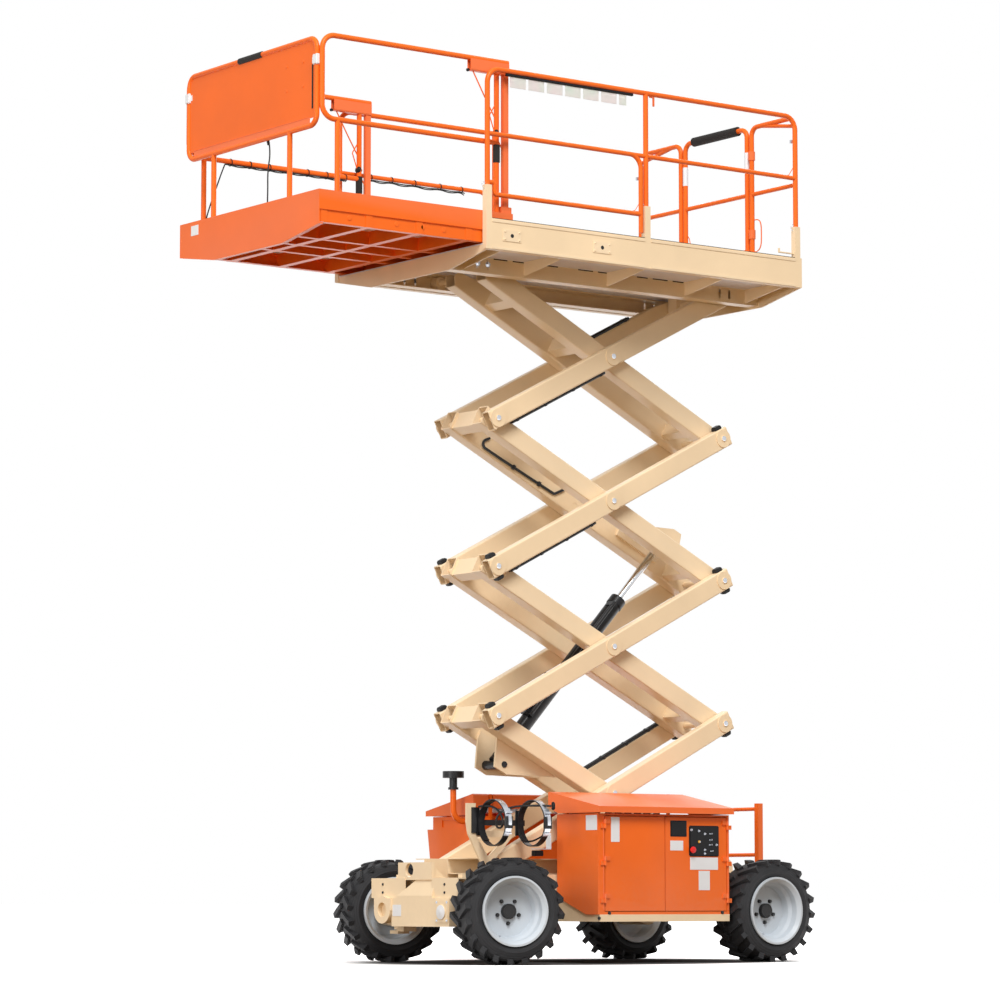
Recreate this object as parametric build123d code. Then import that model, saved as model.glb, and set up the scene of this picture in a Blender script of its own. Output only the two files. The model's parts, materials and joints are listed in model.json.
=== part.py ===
from build123d import *
import math
import os

os.makedirs("parts", exist_ok=True)

# ---- driving dimensions, mm; X forward, Y to the machine's left, Z up ----
WHEELBASE = 2030.0
FRONT_X = WHEELBASE / 2
REAR_X = -WHEELBASE / 2
WHEEL_Y = 729.0
TYRE_OD = 665.0
TYRE_W = 290.0
RIM_FLANGE_OD = 437.0
RIM_BARREL_OD = 396.0
STEER_REST = 15.0
KINGPIN_Y = 520.0

ARM_SPAN = 1888.0
ARM_RISE = 958.0
ARM_DEPTH = 130.0
ARM_W = 70.0
INNER_ARM_W = 105.0
ARM_WALL = 6.0
ARM_END = 58.0
OUTER_ARM_Y = 298.0
ARM_GAP = 6.0
PIN_R = 20.0
PIN_FIT = 1.0
PIVOT_REAR_X = -1064.0
PIVOT_BASE_Z = 616.0
BOSS_R = 60.0
BOSS_T = 6.0
PIN_PROUD = 5.0

ROLLER_R = 42.0
ROLLER_FIT = 2.0
RUN = 6.0
PIN_PLAY = 0.3

LIFT_BASE_ALONG = 753.0
LIFT_BASE_BELOW = 185.0
LIFT_ROD_ALONG = 685.0
LIFT_ROD_ABOVE = 142.0
BARREL_R = 50.0
BARREL_LEN = 1521.0
ROD_R = 25.0
ROD_LEN = 1400.0
EYE_R = 42.0

DECK_PIVOT_Z = PIVOT_BASE_Z + 4 * ARM_RISE


def deck_z(rise):
    return DECK_PIVOT_Z + rise


DECK_FRONT = 1315.0
DECK_REAR = -1299.0
DECK_HALF = 845.0
DECK_PANEL_LOW = deck_z(21)
DECK_PANEL_TOP = deck_z(219)
SHEET = 8.0
RAIL_TOP = deck_z(1177)
RAIL_MID = deck_z(760)
RAIL_LOW = deck_z(374)
RAIL_R = 17.0
RAIL_BEND = 90.0

EXT_FRONT = 2556.0
EXT_REAR = 1080.0
EXT_HALF = 800.0
EXT_TOP = deck_z(269)
EXT_RAIL_Y = 766.0
EXT_RAIL_TOP = deck_z(1242)
EXT_RAIL_MID = deck_z(720)

BOX_FRONT = FRONT_X - 605.0
BOX_REAR = REAR_X + 345.0
BOX_INNER = 376.0
BOX_OUTER = 800.0
BOX_LOW = 311.0
BOX_TOP = 951.0
BOX_WALL = 20.0
DOOR_GAP = 5.0

LADDER_X = REAR_X - 315.0
LADDER_Y = 325.0
LADDER_R = 20.0
LADDER_TOP = 1045.0
CHASSIS_REAR = REAR_X - 285.0
CHASSIS_FRONT = FRONT_X + 135.0
RAIL_W = 46.0

# ---- derived ----
ARM_L = math.hypot(ARM_SPAN, ARM_RISE)
ARM_ANGLE = math.degrees(math.atan2(ARM_RISE, ARM_SPAN))
CENTRE_X = PIVOT_REAR_X + ARM_SPAN / 2
PIVOT_FRONT_X = PIVOT_REAR_X + ARM_SPAN
OUTER_IN = OUTER_ARM_Y - ARM_W
INNER_OUT = OUTER_IN - ARM_GAP
INNER_IN = INNER_OUT - INNER_ARM_W
AXLE_Z = TYRE_OD / 2
SIDE_Y = OUTER_ARM_Y + BOSS_T + PIN_PROUD + RUN
ORIGIN_X = (EXT_FRONT + LADDER_X - LADDER_R) / 2


# ---- small makers ----
def slab(x0, x1, y0, y1, z0, z1):
    size = (abs(x1 - x0), abs(y1 - y0), abs(z1 - z0))
    return Pos((x0 + x1) / 2, (y0 + y1) / 2, (z0 + z1) / 2) * Box(*size)


def rod_y(x, z, r, y0, y1):
    turn = Rot(90, 0, 0) * Cylinder(r, abs(y1 - y0))
    return Pos(x, (y0 + y1) / 2, z) * turn


def rod_x(y, z, r, x0, x1):
    turn = Rot(0, 90, 0) * Cylinder(r, abs(x1 - x0))
    return Pos((x0 + x1) / 2, y, z) * turn


def rod_z(x, y, r, z0, z1):
    return Pos(x, y, (z0 + z1) / 2) * Cylinder(r, abs(z1 - z0))


def both(shape):
    return shape + mirror(shape, Plane.XZ)


def flip(shape):
    return mirror(shape, Plane.XZ)


def pipe(points, r, bend):
    path = FilletPolyline(*points, radius=bend)
    start = path @ 0
    heading = path % 0
    ring = Plane(origin=start, z_dir=heading) * Circle(r)
    return sweep(ring, path=path)


def straight(a, b, r):
    path = Line(a, b)
    ring = Plane(origin=a, z_dir=path % 0) * Circle(r)
    return sweep(ring, path=path)


def prism_xz(points, y0, y1):
    face = Plane.XZ * make_face(Polyline(*points, close=True))
    return Pos(0, max(y0, y1), 0) * extrude(face, abs(y1 - y0))


def prism_yz(points, x0, x1):
    face = Plane.YZ * make_face(Polyline(*points, close=True))
    return Pos(min(x0, x1), 0, 0) * extrude(face, abs(x1 - x0))


def save(name, shape):
    export_step(Pos(-ORIGIN_X, 0, 0) * shape, "parts/" + name + ".step")


# ---- wheels ----
def tyre_section():
    r_out = TYRE_OD / 2 - 22
    half = TYRE_W / 2
    bead = RIM_BARREL_OD / 2
    pts = [(bead, -half + 25), (bead + 45, -half + 4), (r_out - 55, -half)]
    pts += [(r_out - 12, -half + 18), (r_out, -half + 55), (r_out + 4, 0)]
    pts += [(a, -b) for a, b in reversed(pts[:-1])]
    return pts


def tyre():
    face = make_face(Polyline(*[(r, y) for r, y in tyre_section()], close=True))
    body = revolve(face, Axis.Y)
    lug_count = 20
    lugs = []
    for i in range(lug_count):
        for side in (1, -1):
            angle = 360.0 / lug_count * (i + (0.5 if side < 0 else 0))
            bar = Pos(TYRE_OD / 2 - 19, side * 72, 0) * Rot(side * 28, 0, 0) * Box(38, 142, 34)
            lugs.append(Rot(0, angle, 0) * bar)
    keep = Rot(90, 0, 0) * Cylinder(TYRE_OD / 2, TYRE_W)
    hollow = Rot(90, 0, 0) * Cylinder(TYRE_OD / 2 - 60, TYRE_W + 20)
    for bar in lugs:
        body = body + (bar & keep)
    return body, hollow


def rim():
    half = TYRE_W / 2
    barrel = RIM_BARREL_OD / 2
    flange = RIM_FLANGE_OD / 2
    pts = [(barrel - 0.3, -half + 24), (flange, -half + 4), (flange, -half + 12)]
    pts = [(flange, half + 2), (flange, half - 12), (barrel, half - 24), (barrel, -half + 24)]
    pts += [(flange, -half + 12), (flange, -half - 2), (flange - 12, -half - 2)]
    pts += [(barrel - 12, -half + 20), (barrel - 12, -20), (barrel - 40, 0)]
    pts += [(45, 0), (45, 14), (barrel - 40, 14), (barrel - 30, 60), (barrel - 14, 80)]
    pts += [(barrel - 12, half - 20), (flange - 12, half + 2)]
    face = make_face(Polyline(*pts, close=True))
    body = revolve(face, Axis.Y)
    for i in range(5):
        hole = Rot(0, 72 * i + 18, 0) * Pos(75, 7, 0) * Rot(90, 0, 0) * Cylinder(10, 40)
        body = body - hole
    return body


def hub(y_in, y_out):
    drum = rod_y(0, 0, 95, y_in, -1)
    nose = rod_y(0, 0, 44.5, -1, y_out)
    return drum + nose


def front_wheel_place(side):
    angle = -STEER_REST
    return Pos(FRONT_X, side * KINGPIN_Y, AXLE_Z) * Rot(0, 0, angle)


def make_wheels():
    rubber, _ = tyre()
    steel = rim()
    offset = WHEEL_Y - KINGPIN_Y
    for side, word in ((1, "left"), (-1, "right")):
        turn = Rot(0, 0, 0) if side > 0 else Rot(0, 0, 180)
        front = front_wheel_place(side) * Pos(0, side * offset, 0) * turn
        rear = Pos(REAR_X, side * WHEEL_Y, AXLE_Z) * turn
        save("tyre_front_" + word, front * rubber)
        save("rim_front_" + word, front * steel)
        save("tyre_rear_" + word, rear * rubber)
        save("rim_rear_" + word, rear * steel)


KINGPIN_R = 18.0
FORK_IN = 126.0
FORK_T = 22.0


def knuckle(side):
    offset = WHEEL_Y - KINGPIN_Y
    post = rod_z(0, 0, 32, -FORK_IN + RUN, FORK_IN - RUN)
    post = post + rod_z(0, 0, KINGPIN_R, -FORK_IN - FORK_T, FORK_IN + FORK_T)
    web = slab(-45, 45, 0, offset - 110, -60, 60)
    flange = rod_y(0, 0, 98, offset - 120, offset - 8)
    face = rod_y(0, 0, 70, offset - 8, offset)
    stub = rod_y(0, 0, 44, offset, offset + 40)
    arm = slab(-150, 0, -20, 40, -60, -35)
    one = post + web + flange + face + stub + arm
    shape = one if side > 0 else flip(one)
    return front_wheel_place(side) * shape


def make_knuckles():
    save("knuckle_left", knuckle(1))
    save("knuckle_right", knuckle(-1))


# ---- axles ----
def front_axle():
    beam = slab(FRONT_X - 60, FRONT_X + 60, -420, 420, 250, 400)
    arms = both(slab(FRONT_X - 50, FRONT_X + 50, 400, 470, 200, 465))
    ear = slab(FRONT_X - 45, FRONT_X + 45, 470, KINGPIN_Y + 40, AXLE_Z + FORK_IN, AXLE_Z + FORK_IN + FORK_T)
    ears = both(ear) + Pos(0, 0, -2 * FORK_IN - FORK_T) * both(ear)
    bore = rod_z(FRONT_X, KINGPIN_Y, KINGPIN_R + PIN_PLAY, AXLE_Z - 200, AXLE_Z + 200)
    stand = slab(FRONT_X - 60, FRONT_X + 60, -250, 250, 400, 430)
    return beam + arms + ears + stand - both(bore)


def rear_axle():
    beam = slab(REAR_X - 60, REAR_X + 60, -480, 480, 262, 402)
    stand = both(slab(REAR_X - 60, REAR_X + 60, 300, 360, 402, 430))
    hubs = both(rod_y(REAR_X, AXLE_Z, 98, 470, WHEEL_Y - 8))
    face = both(rod_y(REAR_X, AXLE_Z, 70, WHEEL_Y - 8, WHEEL_Y))
    stub = both(rod_y(REAR_X, AXLE_Z, 44, WHEEL_Y, WHEEL_Y + 40))
    return beam + stand + hubs + face + stub


# ---- chassis ----
CHASSIS_RAIL_TOP = 540.0
CHASSIS_LOW = 430.0
CROSS_TOP = 520.0
SILL_LOW = 266.0
BEVEL_TOP = 425.0
TRACK_WALL = 6.0
RAIL_Y1 = SIDE_Y + RAIL_W
BASE_TRACK_X0 = 82.0
BASE_TRACK_X1 = 1096.0


def chassis():
    rails = both(slab(CHASSIS_REAR, CHASSIS_FRONT, SIDE_Y, RAIL_Y1, CHASSIS_LOW, CHASSIS_RAIL_TOP + 24))
    floor = slab(CHASSIS_REAR, CHASSIS_FRONT, -SIDE_Y - 1, SIDE_Y + 1, CHASSIS_LOW, CHASSIS_LOW + 8)
    body = rails + floor
    for x in (CHASSIS_REAR + 25, -640, -150, 330, 700, CHASSIS_FRONT - 25):
        body = body + slab(x - 25, x + 25, -SIDE_Y - 1, SIDE_Y + 1, CHASSIS_LOW, CROSS_TOP)
    half = ROLLER_R + ROLLER_FIT
    y0 = INNER_IN + RUN
    web = slab(BASE_TRACK_X0, BASE_TRACK_X1, y0, y0 + TRACK_WALL, CHASSIS_LOW, PIVOT_BASE_Z + half + TRACK_WALL)
    top = slab(BASE_TRACK_X0, BASE_TRACK_X1, y0, INNER_OUT, PIVOT_BASE_Z + half, PIVOT_BASE_Z + half + TRACK_WALL)
    low = slab(BASE_TRACK_X0, BASE_TRACK_X1, y0, INNER_OUT, PIVOT_BASE_Z - half - TRACK_WALL, PIVOT_BASE_Z - half)
    body = body + both(web + top + low)
    block = slab(PIVOT_REAR_X - 60, PIVOT_REAR_X + 60, OUTER_IN, OUTER_ARM_Y, CHASSIS_LOW, PIVOT_BASE_Z + 60)
    block = fillet(block.edges().filter_by(Axis.Y).sort_by(Axis.Z)[-2:], 55)
    bore = rod_y(PIVOT_REAR_X, PIVOT_BASE_Z, PIN_R + PIN_FIT, 0, OUTER_ARM_Y + 1)
    return body + both(block) - both(bore)


FRONT_FACE = FRONT_X + 268.0
HOUSING_HALF = 402.0
HOUSING_TOP = 414.0
BAR_TOP = 541.0
BAR_X0 = FRONT_X + 175.0
BAR_X1 = FRONT_X + 253.0
BAR_END = 472.0
LUG_FACE = FRONT_X + 282.0
LUG_Y = -314.0
LUG_Z = 340.0
LUG_R = 46.0
LUG_DEEP = 34.0
NOSE_FACE = FRONT_X + 247.0
NOSE_T = 22.0
EYE_Y = -60.0
EYE_Z = 590.0
EYE_HOLE_R = 44.0


def cross_bar(y0, y1):
    """Open square tube across the nose of the chassis."""
    tube = slab(BAR_X0, BAR_X1, y0, y1, HOUSING_TOP, BAR_TOP)
    return tube - slab(BAR_X0 + 8, BAR_X1 - 8, y0 - 1, y1 + 1, HOUSING_TOP + 8, BAR_TOP - 8)


def front_housing():
    body = slab(CHASSIS_FRONT, FRONT_FACE, -HOUSING_HALF, HOUSING_HALF, 262, HOUSING_TOP)
    body = body - slab(FRONT_FACE - 26, FRONT_FACE + 1, -HOUSING_HALF - 1, -224, 200, HOUSING_TOP + 1)
    body = body + slab(CHASSIS_FRONT, FRONT_FACE, -224, HOUSING_HALF, 235, 264)
    body = body + slab(CHASSIS_FRONT, BAR_X0 + 1, -RAIL_Y1, RAIL_Y1, HOUSING_TOP - 1, BAR_TOP)
    shoulder = prism_yz([(-219, HOUSING_TOP - 19), (215, HOUSING_TOP - 19), (215, BAR_TOP - 10), (8, BAR_TOP - 10)],
                        CHASSIS_FRONT, FRONT_FACE)
    slope = prism_xz([(FRONT_FACE + 1, HOUSING_TOP + 12), (FRONT_FACE + 1, 700), (FRONT_X + 185, 700)], -300, 300)
    bars = cross_bar(194, BAR_END) + cross_bar(-BAR_END, -100)
    tongue = slab(FRONT_FACE - 27, LUG_FACE, -402, -219, 335, HOUSING_TOP)
    tongue = tongue + rod_x(LUG_Y, LUG_Z, 88, FRONT_FACE - 27, LUG_FACE)
    hole = rod_x(LUG_Y, LUG_Z, LUG_R, LUG_FACE - LUG_DEEP, LUG_FACE + 5)
    plate = slab(FRONT_FACE - 1, FRONT_FACE + 6, 262, 396, 262, 400)
    cover = rod_x(327, 326, 46, FRONT_FACE + 5, FRONT_FACE + 12)
    nose = slab(NOSE_FACE - NOSE_T, NOSE_FACE, -183, 183, BAR_TOP - 12, 640)
    nose = nose + slab(CHASSIS_FRONT, NOSE_FACE, -183, 183, BAR_TOP - 12, BAR_TOP + 6)
    ribs = both(prism_xz([(CHASSIS_FRONT, BAR_TOP), (NOSE_FACE - 5, BAR_TOP), (NOSE_FACE - 5, 630)], 168, 176))
    eye = rod_x(EYE_Y, EYE_Z, EYE_HOLE_R, NOSE_FACE - NOSE_T - 5, NOSE_FACE + 5)
    body = body + (shoulder - slope) + bars + tongue + plate + cover + nose + ribs
    return body - hole - eye


def sills():
    beam = slab(BOX_REAR, BOX_FRONT - 10, BOX_OUTER - 60, BOX_OUTER + 2, SILL_LOW, BOX_LOW)
    body = beam
    for x in (BOX_REAR, -160, BOX_FRONT - 70):
        body = body + slab(x, x + 60, RAIL_Y1 - 30, BOX_OUTER - 1, SILL_LOW, BOX_LOW)
        body = body + slab(x, x + 60, SIDE_Y, RAIL_Y1, SILL_LOW, CHASSIS_LOW + 1)
    end = prism_yz([(RAIL_Y1, SILL_LOW), (BOX_OUTER - 30, SILL_LOW), (BOX_OUTER - 30, BOX_LOW),
                    (BOX_OUTER - 125, BOX_LOW), (RAIL_Y1, BEVEL_TOP)], BOX_FRONT - 20, BOX_FRONT - 10)
    return both(body + end)


def make_chassis():
    save("chassis_frame", chassis() + sills() + front_housing() + cradle_frame())
    save("front_axle", front_axle())
    save("rear_axle", rear_axle())


# ---- engine box ----
DOOR_FRONT_X = 357.0
DOOR_SEAM_X = -136.0
DOOR_REAR_X = -652.0
DOOR_LOW = 328.0
DOOR_TOP = 936.0
DOOR_PIN_OUT = 8.0
DOOR_PIN_R = 5.0
HINGE_HEIGHTS = (414.0, 651.0, 885.0)
LID_TOP = 1095.0
LID_T = 16.0
LID_CUT = 8.0
LID_SKIRT_LOW = 1000.0
HINGE_Y = SIDE_Y + 9.0
HINGE_Z = LID_TOP - 8.0
HINGE_R = 4.0


def lid_bracket(x, side):
    """Gooseneck on a side box that carries the hinge pin of its lid."""
    arm = slab(x - 10, x + 10, HINGE_Y - 8, BOX_INNER + BOX_WALL, BOX_TOP - 30, BOX_TOP - 2)
    post = slab(x - 10, x + 10, HINGE_Y - 8, HINGE_Y + 8, BOX_TOP - 30, HINGE_Z + 6)
    pin = rod_x(HINGE_Y, HINGE_Z, HINGE_R, x - 34, x + 34)
    one = arm + post + pin
    return one if side > 0 else flip(one)


def hinge_notch(x):
    """Cutter at the inner edge of a lid, round the post and pin of its bracket."""
    gap = slab(x - 22, x + 22, SIDE_Y - 1, SIDE_Y + 26, LID_SKIRT_LOW - 1, LID_TOP + 1)
    return gap + rod_x(HINGE_Y, HINGE_Z, HINGE_R + PIN_PLAY, x - 40, x + 40)


def door_pin(x, z, back):
    """Pin of a box door hinge; the leaf lies on the box on the side given by back."""
    y = BOX_OUTER + DOOR_PIN_OUT
    leaf = slab(x, x + back * 34, BOX_OUTER - 1, y, z - 30, z - 2)
    return leaf + rod_z(x, y, DOOR_PIN_R, z - 30, z + 28) + rod_z(x, y, DOOR_PIN_R + 3, z - 30, z - 2)


def door_sleeve(x, z, back):
    y = BOX_OUTER + DOOR_PIN_OUT
    leaf = slab(x, x - back * 40, BOX_OUTER - 1, y, z, z + 28)
    tube = rod_z(x, y, DOOR_PIN_R + 3, z, z + 28)
    return leaf + tube - rod_z(x, y, DOOR_PIN_R + PIN_PLAY, z - 5, z + 40)


def engine_box():
    outer = slab(BOX_REAR, BOX_FRONT, BOX_INNER, BOX_OUTER, BOX_LOW, BOX_TOP - 2)
    inner = slab(BOX_REAR + BOX_WALL, BOX_FRONT - BOX_WALL, BOX_INNER + BOX_WALL,
                 BOX_OUTER - BOX_WALL, BOX_LOW + BOX_WALL, BOX_TOP + 10)
    opening = slab(DOOR_REAR_X, DOOR_FRONT_X, BOX_OUTER - BOX_WALL - 5, BOX_OUTER + 5,
                   DOOR_LOW, DOOR_TOP)
    bevel = prism_yz([(RAIL_Y1, BOX_LOW - 5), (BOX_OUTER - 125, BOX_LOW - 5), (BOX_OUTER - 125, BOX_LOW),
                      (RAIL_Y1, BEVEL_TOP)], BOX_REAR - 1, BOX_FRONT + 1)
    slope = prism_yz([(BOX_OUTER - 125, BOX_LOW), (BOX_OUTER - 125, BOX_LOW + BOX_WALL),
                      (BOX_INNER, BEVEL_TOP + BOX_WALL), (BOX_INNER, BEVEL_TOP)], BOX_REAR, BOX_FRONT)
    outer = outer - bevel
    inner = inner - slope - bevel
    mullion = slab(DOOR_SEAM_X - 20, DOOR_SEAM_X + 20, BOX_OUTER - 60, BOX_OUTER - 26, BOX_LOW, DOOR_TOP + 5)
    body = outer - inner - opening + mullion
    for x in (BOX_REAR + 120, BOX_FRONT - 120):
        body = body + lid_bracket(x, 1)
    for z in HINGE_HEIGHTS:
        body = body + door_pin(DOOR_FRONT_X, z, 1) + door_pin(DOOR_REAR_X, z, -1)
    return body


def engine_door(x0, x1, hinge_x, back):
    door = slab(x0 + DOOR_GAP, x1 - DOOR_GAP, BOX_OUTER - BOX_WALL, BOX_OUTER,
                DOOR_LOW + DOOR_GAP, DOOR_TOP - DOOR_GAP)
    for z in HINGE_HEIGHTS:
        door = door + door_sleeve(hinge_x, z, back)
    return door


def lid(y_out, z_out, skirt_x0, skirt_x1, end_walls, places, side):
    """Folded lid: sloping top, outer lip, short inner skirt and closed ends."""
    lip = BOX_TOP + 3
    y_in = SIDE_Y
    fall = LID_CUT * (LID_TOP - z_out) / (y_out - y_in)
    roof = [(y_in, LID_TOP - LID_CUT), (y_in + LID_CUT, LID_TOP - fall), (y_out, z_out), (y_out, lip)]
    prof = roof + [(y_out - LID_T, lip), (y_out - LID_T, z_out - LID_T + 4)]
    prof += [(y_in + LID_T, LID_TOP - LID_T), (y_in + LID_T, LID_SKIRT_LOW), (y_in, LID_SKIRT_LOW)]
    full = roof + [(BOX_INNER + 40, lip), (y_in, LID_SKIRT_LOW)]
    shape = prism_yz(prof, skirt_x0, skirt_x1)
    for a, b in end_walls:
        shape = shape + prism_yz(full, a, b)
    for x in places:
        shape = shape - hinge_notch(x)
    return shape if side > 0 else flip(shape)


def feet():
    """Two rubber feet that carry the engine on the floor of its box."""
    body = rod_z(-470, 705, 25, BOX_LOW + BOX_WALL, BOX_LOW + BOX_WALL + 95)
    return body + Pos(670, 0, 0) * body


def make_engine_box():
    save("engine_box", engine_box())
    save("engine_door_front", engine_door(DOOR_SEAM_X - 2, DOOR_FRONT_X, DOOR_FRONT_X, 1))
    save("engine_door_rear", engine_door(DOOR_REAR_X, DOOR_SEAM_X + 2, DOOR_REAR_X, -1))
    ends = ((BOX_FRONT + 5, BOX_FRONT + 25), (BOX_REAR - 3, BOX_REAR + 9))
    places = (BOX_REAR + 120, BOX_FRONT - 120)
    hood = lid(850, 993, BOX_REAR - 3, BOX_FRONT + 25, ends, places, 1)
    save("engine_hood", hood)
    save("engine_block", slab(-520, 250, 540, 740, BOX_LOW + BOX_WALL + 85, 850) + feet())


# ---- tank box ----
TANK_FRONT = FRONT_X - 470.0
TANK_REAR = REAR_X + 345.0


def tank_box():
    prof = [(-BOX_INNER, BEVEL_TOP), (125 - BOX_OUTER, BOX_LOW), (-780, BOX_LOW), (-865, 867), (-800, 867)]
    prof += [(-800, 949), (-BOX_INNER, 949)]
    outer = prism_yz(prof, TANK_REAR, TANK_FRONT)
    core = [(-BOX_INNER - 20, BEVEL_TOP + 15), (120 - BOX_OUTER, BOX_LOW + 20), (-762, BOX_LOW + 20)]
    core += [(-842, 850), (-780, 850), (-780, 960), (-BOX_INNER - 20, 960)]
    inner = prism_yz(core, TANK_REAR + 20, TANK_FRONT - 20)
    slot = slab(TANK_FRONT - 8, TANK_FRONT + 5, -700, -470, 880, 925)
    body = outer - inner - slot
    for x in (TANK_REAR + 120, TANK_FRONT - 120):
        body = body + lid_bracket(x, -1)
    return body


def intake():
    x = TANK_FRONT
    return pipe([(x, -400, 915), (x + 125, -400, 915), (x + 125, -400, 1120)], 20, 80)


def intake_cap():
    x = TANK_FRONT + 125
    neck = rod_z(x, -400, 26, 1120, 1200)
    cap = rod_z(x, -400, 70, 1196, 1240)
    ring = rod_z(x, -400, 34, 1120, 1135)
    return neck + cap + ring


def make_tank_box():
    save("tank_box", tank_box())
    ends = ((TANK_FRONT + 5, TANK_FRONT + 25), (TANK_REAR - 3, TANK_REAR + 9))
    places = (TANK_REAR + 120, TANK_FRONT - 120)
    save("tank_lid", lid(850, 988, TANK_REAR - 3, TANK_FRONT + 25, ends, places, -1))
    save("intake_pipe", intake())
    save("intake_cap", intake_cap())


# ---- gas cylinder cradle ----
CRADLE_Y = 483.0
CRADLE_Z = 887.0
HOOP_R = 148.0
HOOP_X = (FRONT_X - 25.0, FRONT_X - 333.0)
CRADLE_T = 14.0
CRADLE_TOP = 1012.0
STRAP_W = 44.0
STRAP_T = 6.0


def cradle_frame():
    y0, y1 = SIDE_Y, SIDE_Y + CRADLE_T
    foot = CHASSIS_RAIL_TOP + 20
    front = [(1094, CRADLE_TOP), (1095, 893), (1080, 818), (1039, 742), (985, 645), (950, foot)]
    front += [(860, foot), (905, 645), (972, 743), (1019, 807), (1040, 860), (1022, CRADLE_TOP)]
    rear = [(735, 800), (870, 660), (880, foot), (960, foot), (940, 662), (785, 800)]
    bar = slab(735, 1060, y0, y1, 800, 840)
    return prism_xz(front, y0, y1) + prism_xz(rear, y0, y1) + bar


def cradle_straps():
    back = SIDE_Y + CRADLE_T
    body = slab(640, 1018, back, back + 8, 872, 908) + slab(1000, 1058, back, back + 8, 824, 986)
    for x in HOOP_X:
        ring = rod_x(CRADLE_Y, CRADLE_Z, HOOP_R, x - STRAP_W / 2, x + STRAP_W / 2)
        ring = ring - rod_x(CRADLE_Y, CRADLE_Z, HOOP_R - STRAP_T, x - STRAP_W, x + STRAP_W)
        plate = slab(x - 30, x + 30, back, back + 10, 810, 970)
        buckle = slab(x - 26, x + 26, CRADLE_Y + HOOP_R - 8, CRADLE_Y + HOOP_R + 12, CRADLE_Z - 38, CRADLE_Z + 38)
        body = body + ring + plate + buckle
    return body


# ---- ladder ----
def ladder():
    half = LADDER_R
    x = LADDER_X
    post = slab(x - half, x + half, LADDER_Y - half, LADDER_Y + half, 440, LADDER_TOP)
    post = post - slab(x - half + 3, x + half - 3, LADDER_Y - half + 3, LADDER_Y + half - 3, 443, LADDER_TOP + 1)
    body = both(post)
    for z in (702, 1008):
        body = body + rod_y(x, z, 13, -LADDER_Y + half - 1, LADDER_Y - half + 1)
    foot = slab(x, CHASSIS_REAR, LADDER_Y - half, LADDER_Y + half, 450, 500)
    foot = foot - slab(x - 40, x + half - 2, 0, 900, 440, 510)
    return body + both(foot)


def make_cradle_and_ladder():
    save("cradle_straps", cradle_straps())
    save("rear_ladder", ladder())


# ---- scissor arms ----
def arm_tube(y0, y1):
    half = ARM_L / 2 + ARM_END
    depth = ARM_DEPTH / 2
    w = ARM_WALL
    outer = slab(-half, half, y0, y1, -depth, depth)
    outer = fillet(outer.edges().filter_by(Axis.X), 10)
    inner = slab(-half - 1, half + 1, y0 + w, y1 - w, -depth + w, depth - w)
    return outer - inner


def top_relief(end):
    """Cutter that tapers the upper end of a top arm so that it clears the deck floor."""
    pts = [(-190, 80), (-190, 66), (0, 44), (28, 33), (45, 8), (45, -12), (10, -66), (10, -90), (90, -90), (90, 80)]
    cutter = prism_xz([(end * (ARM_L / 2 + x), z) for x, z in pts], -OUTER_ARM_Y - 1, OUTER_ARM_Y + 1)
    return cutter


def outer_pair(first, last):
    half = ARM_L / 2
    body = both(arm_tube(OUTER_IN, OUTER_ARM_Y))
    bosses = [0]
    if not first:
        bosses.append(half)
    if not last:
        bosses.append(-half)
    for x in bosses:
        body = body + both(rod_y(x, 0, BOSS_R, OUTER_ARM_Y, OUTER_ARM_Y + BOSS_T))
    if last:
        body = body - top_relief(-1)
        body = body + both(rod_y(-half, 0, 40, OUTER_ARM_Y, OUTER_ARM_Y + BOSS_T))
    edge = OUTER_ARM_Y + BOSS_T + PIN_PROUD
    body = body + both(rod_y(0, 0, PIN_R, INNER_IN + 2, edge))
    body = body + rod_y(-half, 0, PIN_R, -edge, edge)
    if first:
        wheel = rod_y(half, 0, ROLLER_R, INNER_IN + RUN + TRACK_WALL + 4, INNER_OUT - 4)
        stub = rod_y(half, 0, PIN_R, INNER_OUT - 5, edge)
        return body + both(wheel + stub)
    return body + rod_y(half, 0, PIN_R, -edge, edge)


def inner_pair(first, last):
    half = ARM_L / 2
    body = both(arm_tube(INNER_IN, INNER_OUT))
    if last:
        body = body - top_relief(1)
        for x in (half - 330, 150):
            body = body + slab(x, x + 80, -INNER_IN, INNER_IN, -45, 45)
    else:
        front = slab(half - 42, half + 42, -INNER_IN, INNER_IN, -58, 58)
        body = body + front - slab(half - 34, half + 34, -INNER_IN - 1, INNER_IN + 1, -50, 50)
    body = body + slab(-half + 130, -half + 200, -INNER_IN, INNER_IN, -45, 45)
    fit = rod_y(0, 0, PIN_R + PIN_FIT, -INNER_OUT - 1, INNER_OUT + 1)
    body = body - fit
    if first:
        body = body + rod_y(-half, 0, PIN_R, -OUTER_ARM_Y - 5, OUTER_ARM_Y + 5)
    else:
        body = body - Pos(-half, 0, 0) * fit
    if not last:
        return body - Pos(half, 0, 0) * fit
    stub = rod_y(half, 0, PIN_R, INNER_OUT - 5, DECK_TRACK_Y1 - 12)
    wheel = rod_y(half, 0, ROLLER_R, DECK_TRACK_Y0 + 15, DECK_TRACK_Y1 - 14)
    return body + both(stub + wheel)


PLATE_Y0 = INNER_IN - 22.0
PLATE_Y1 = INNER_IN - RUN
DECK_TRACK_Y0 = SIDE_Y
DECK_TRACK_Y1 = 405.0


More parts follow.
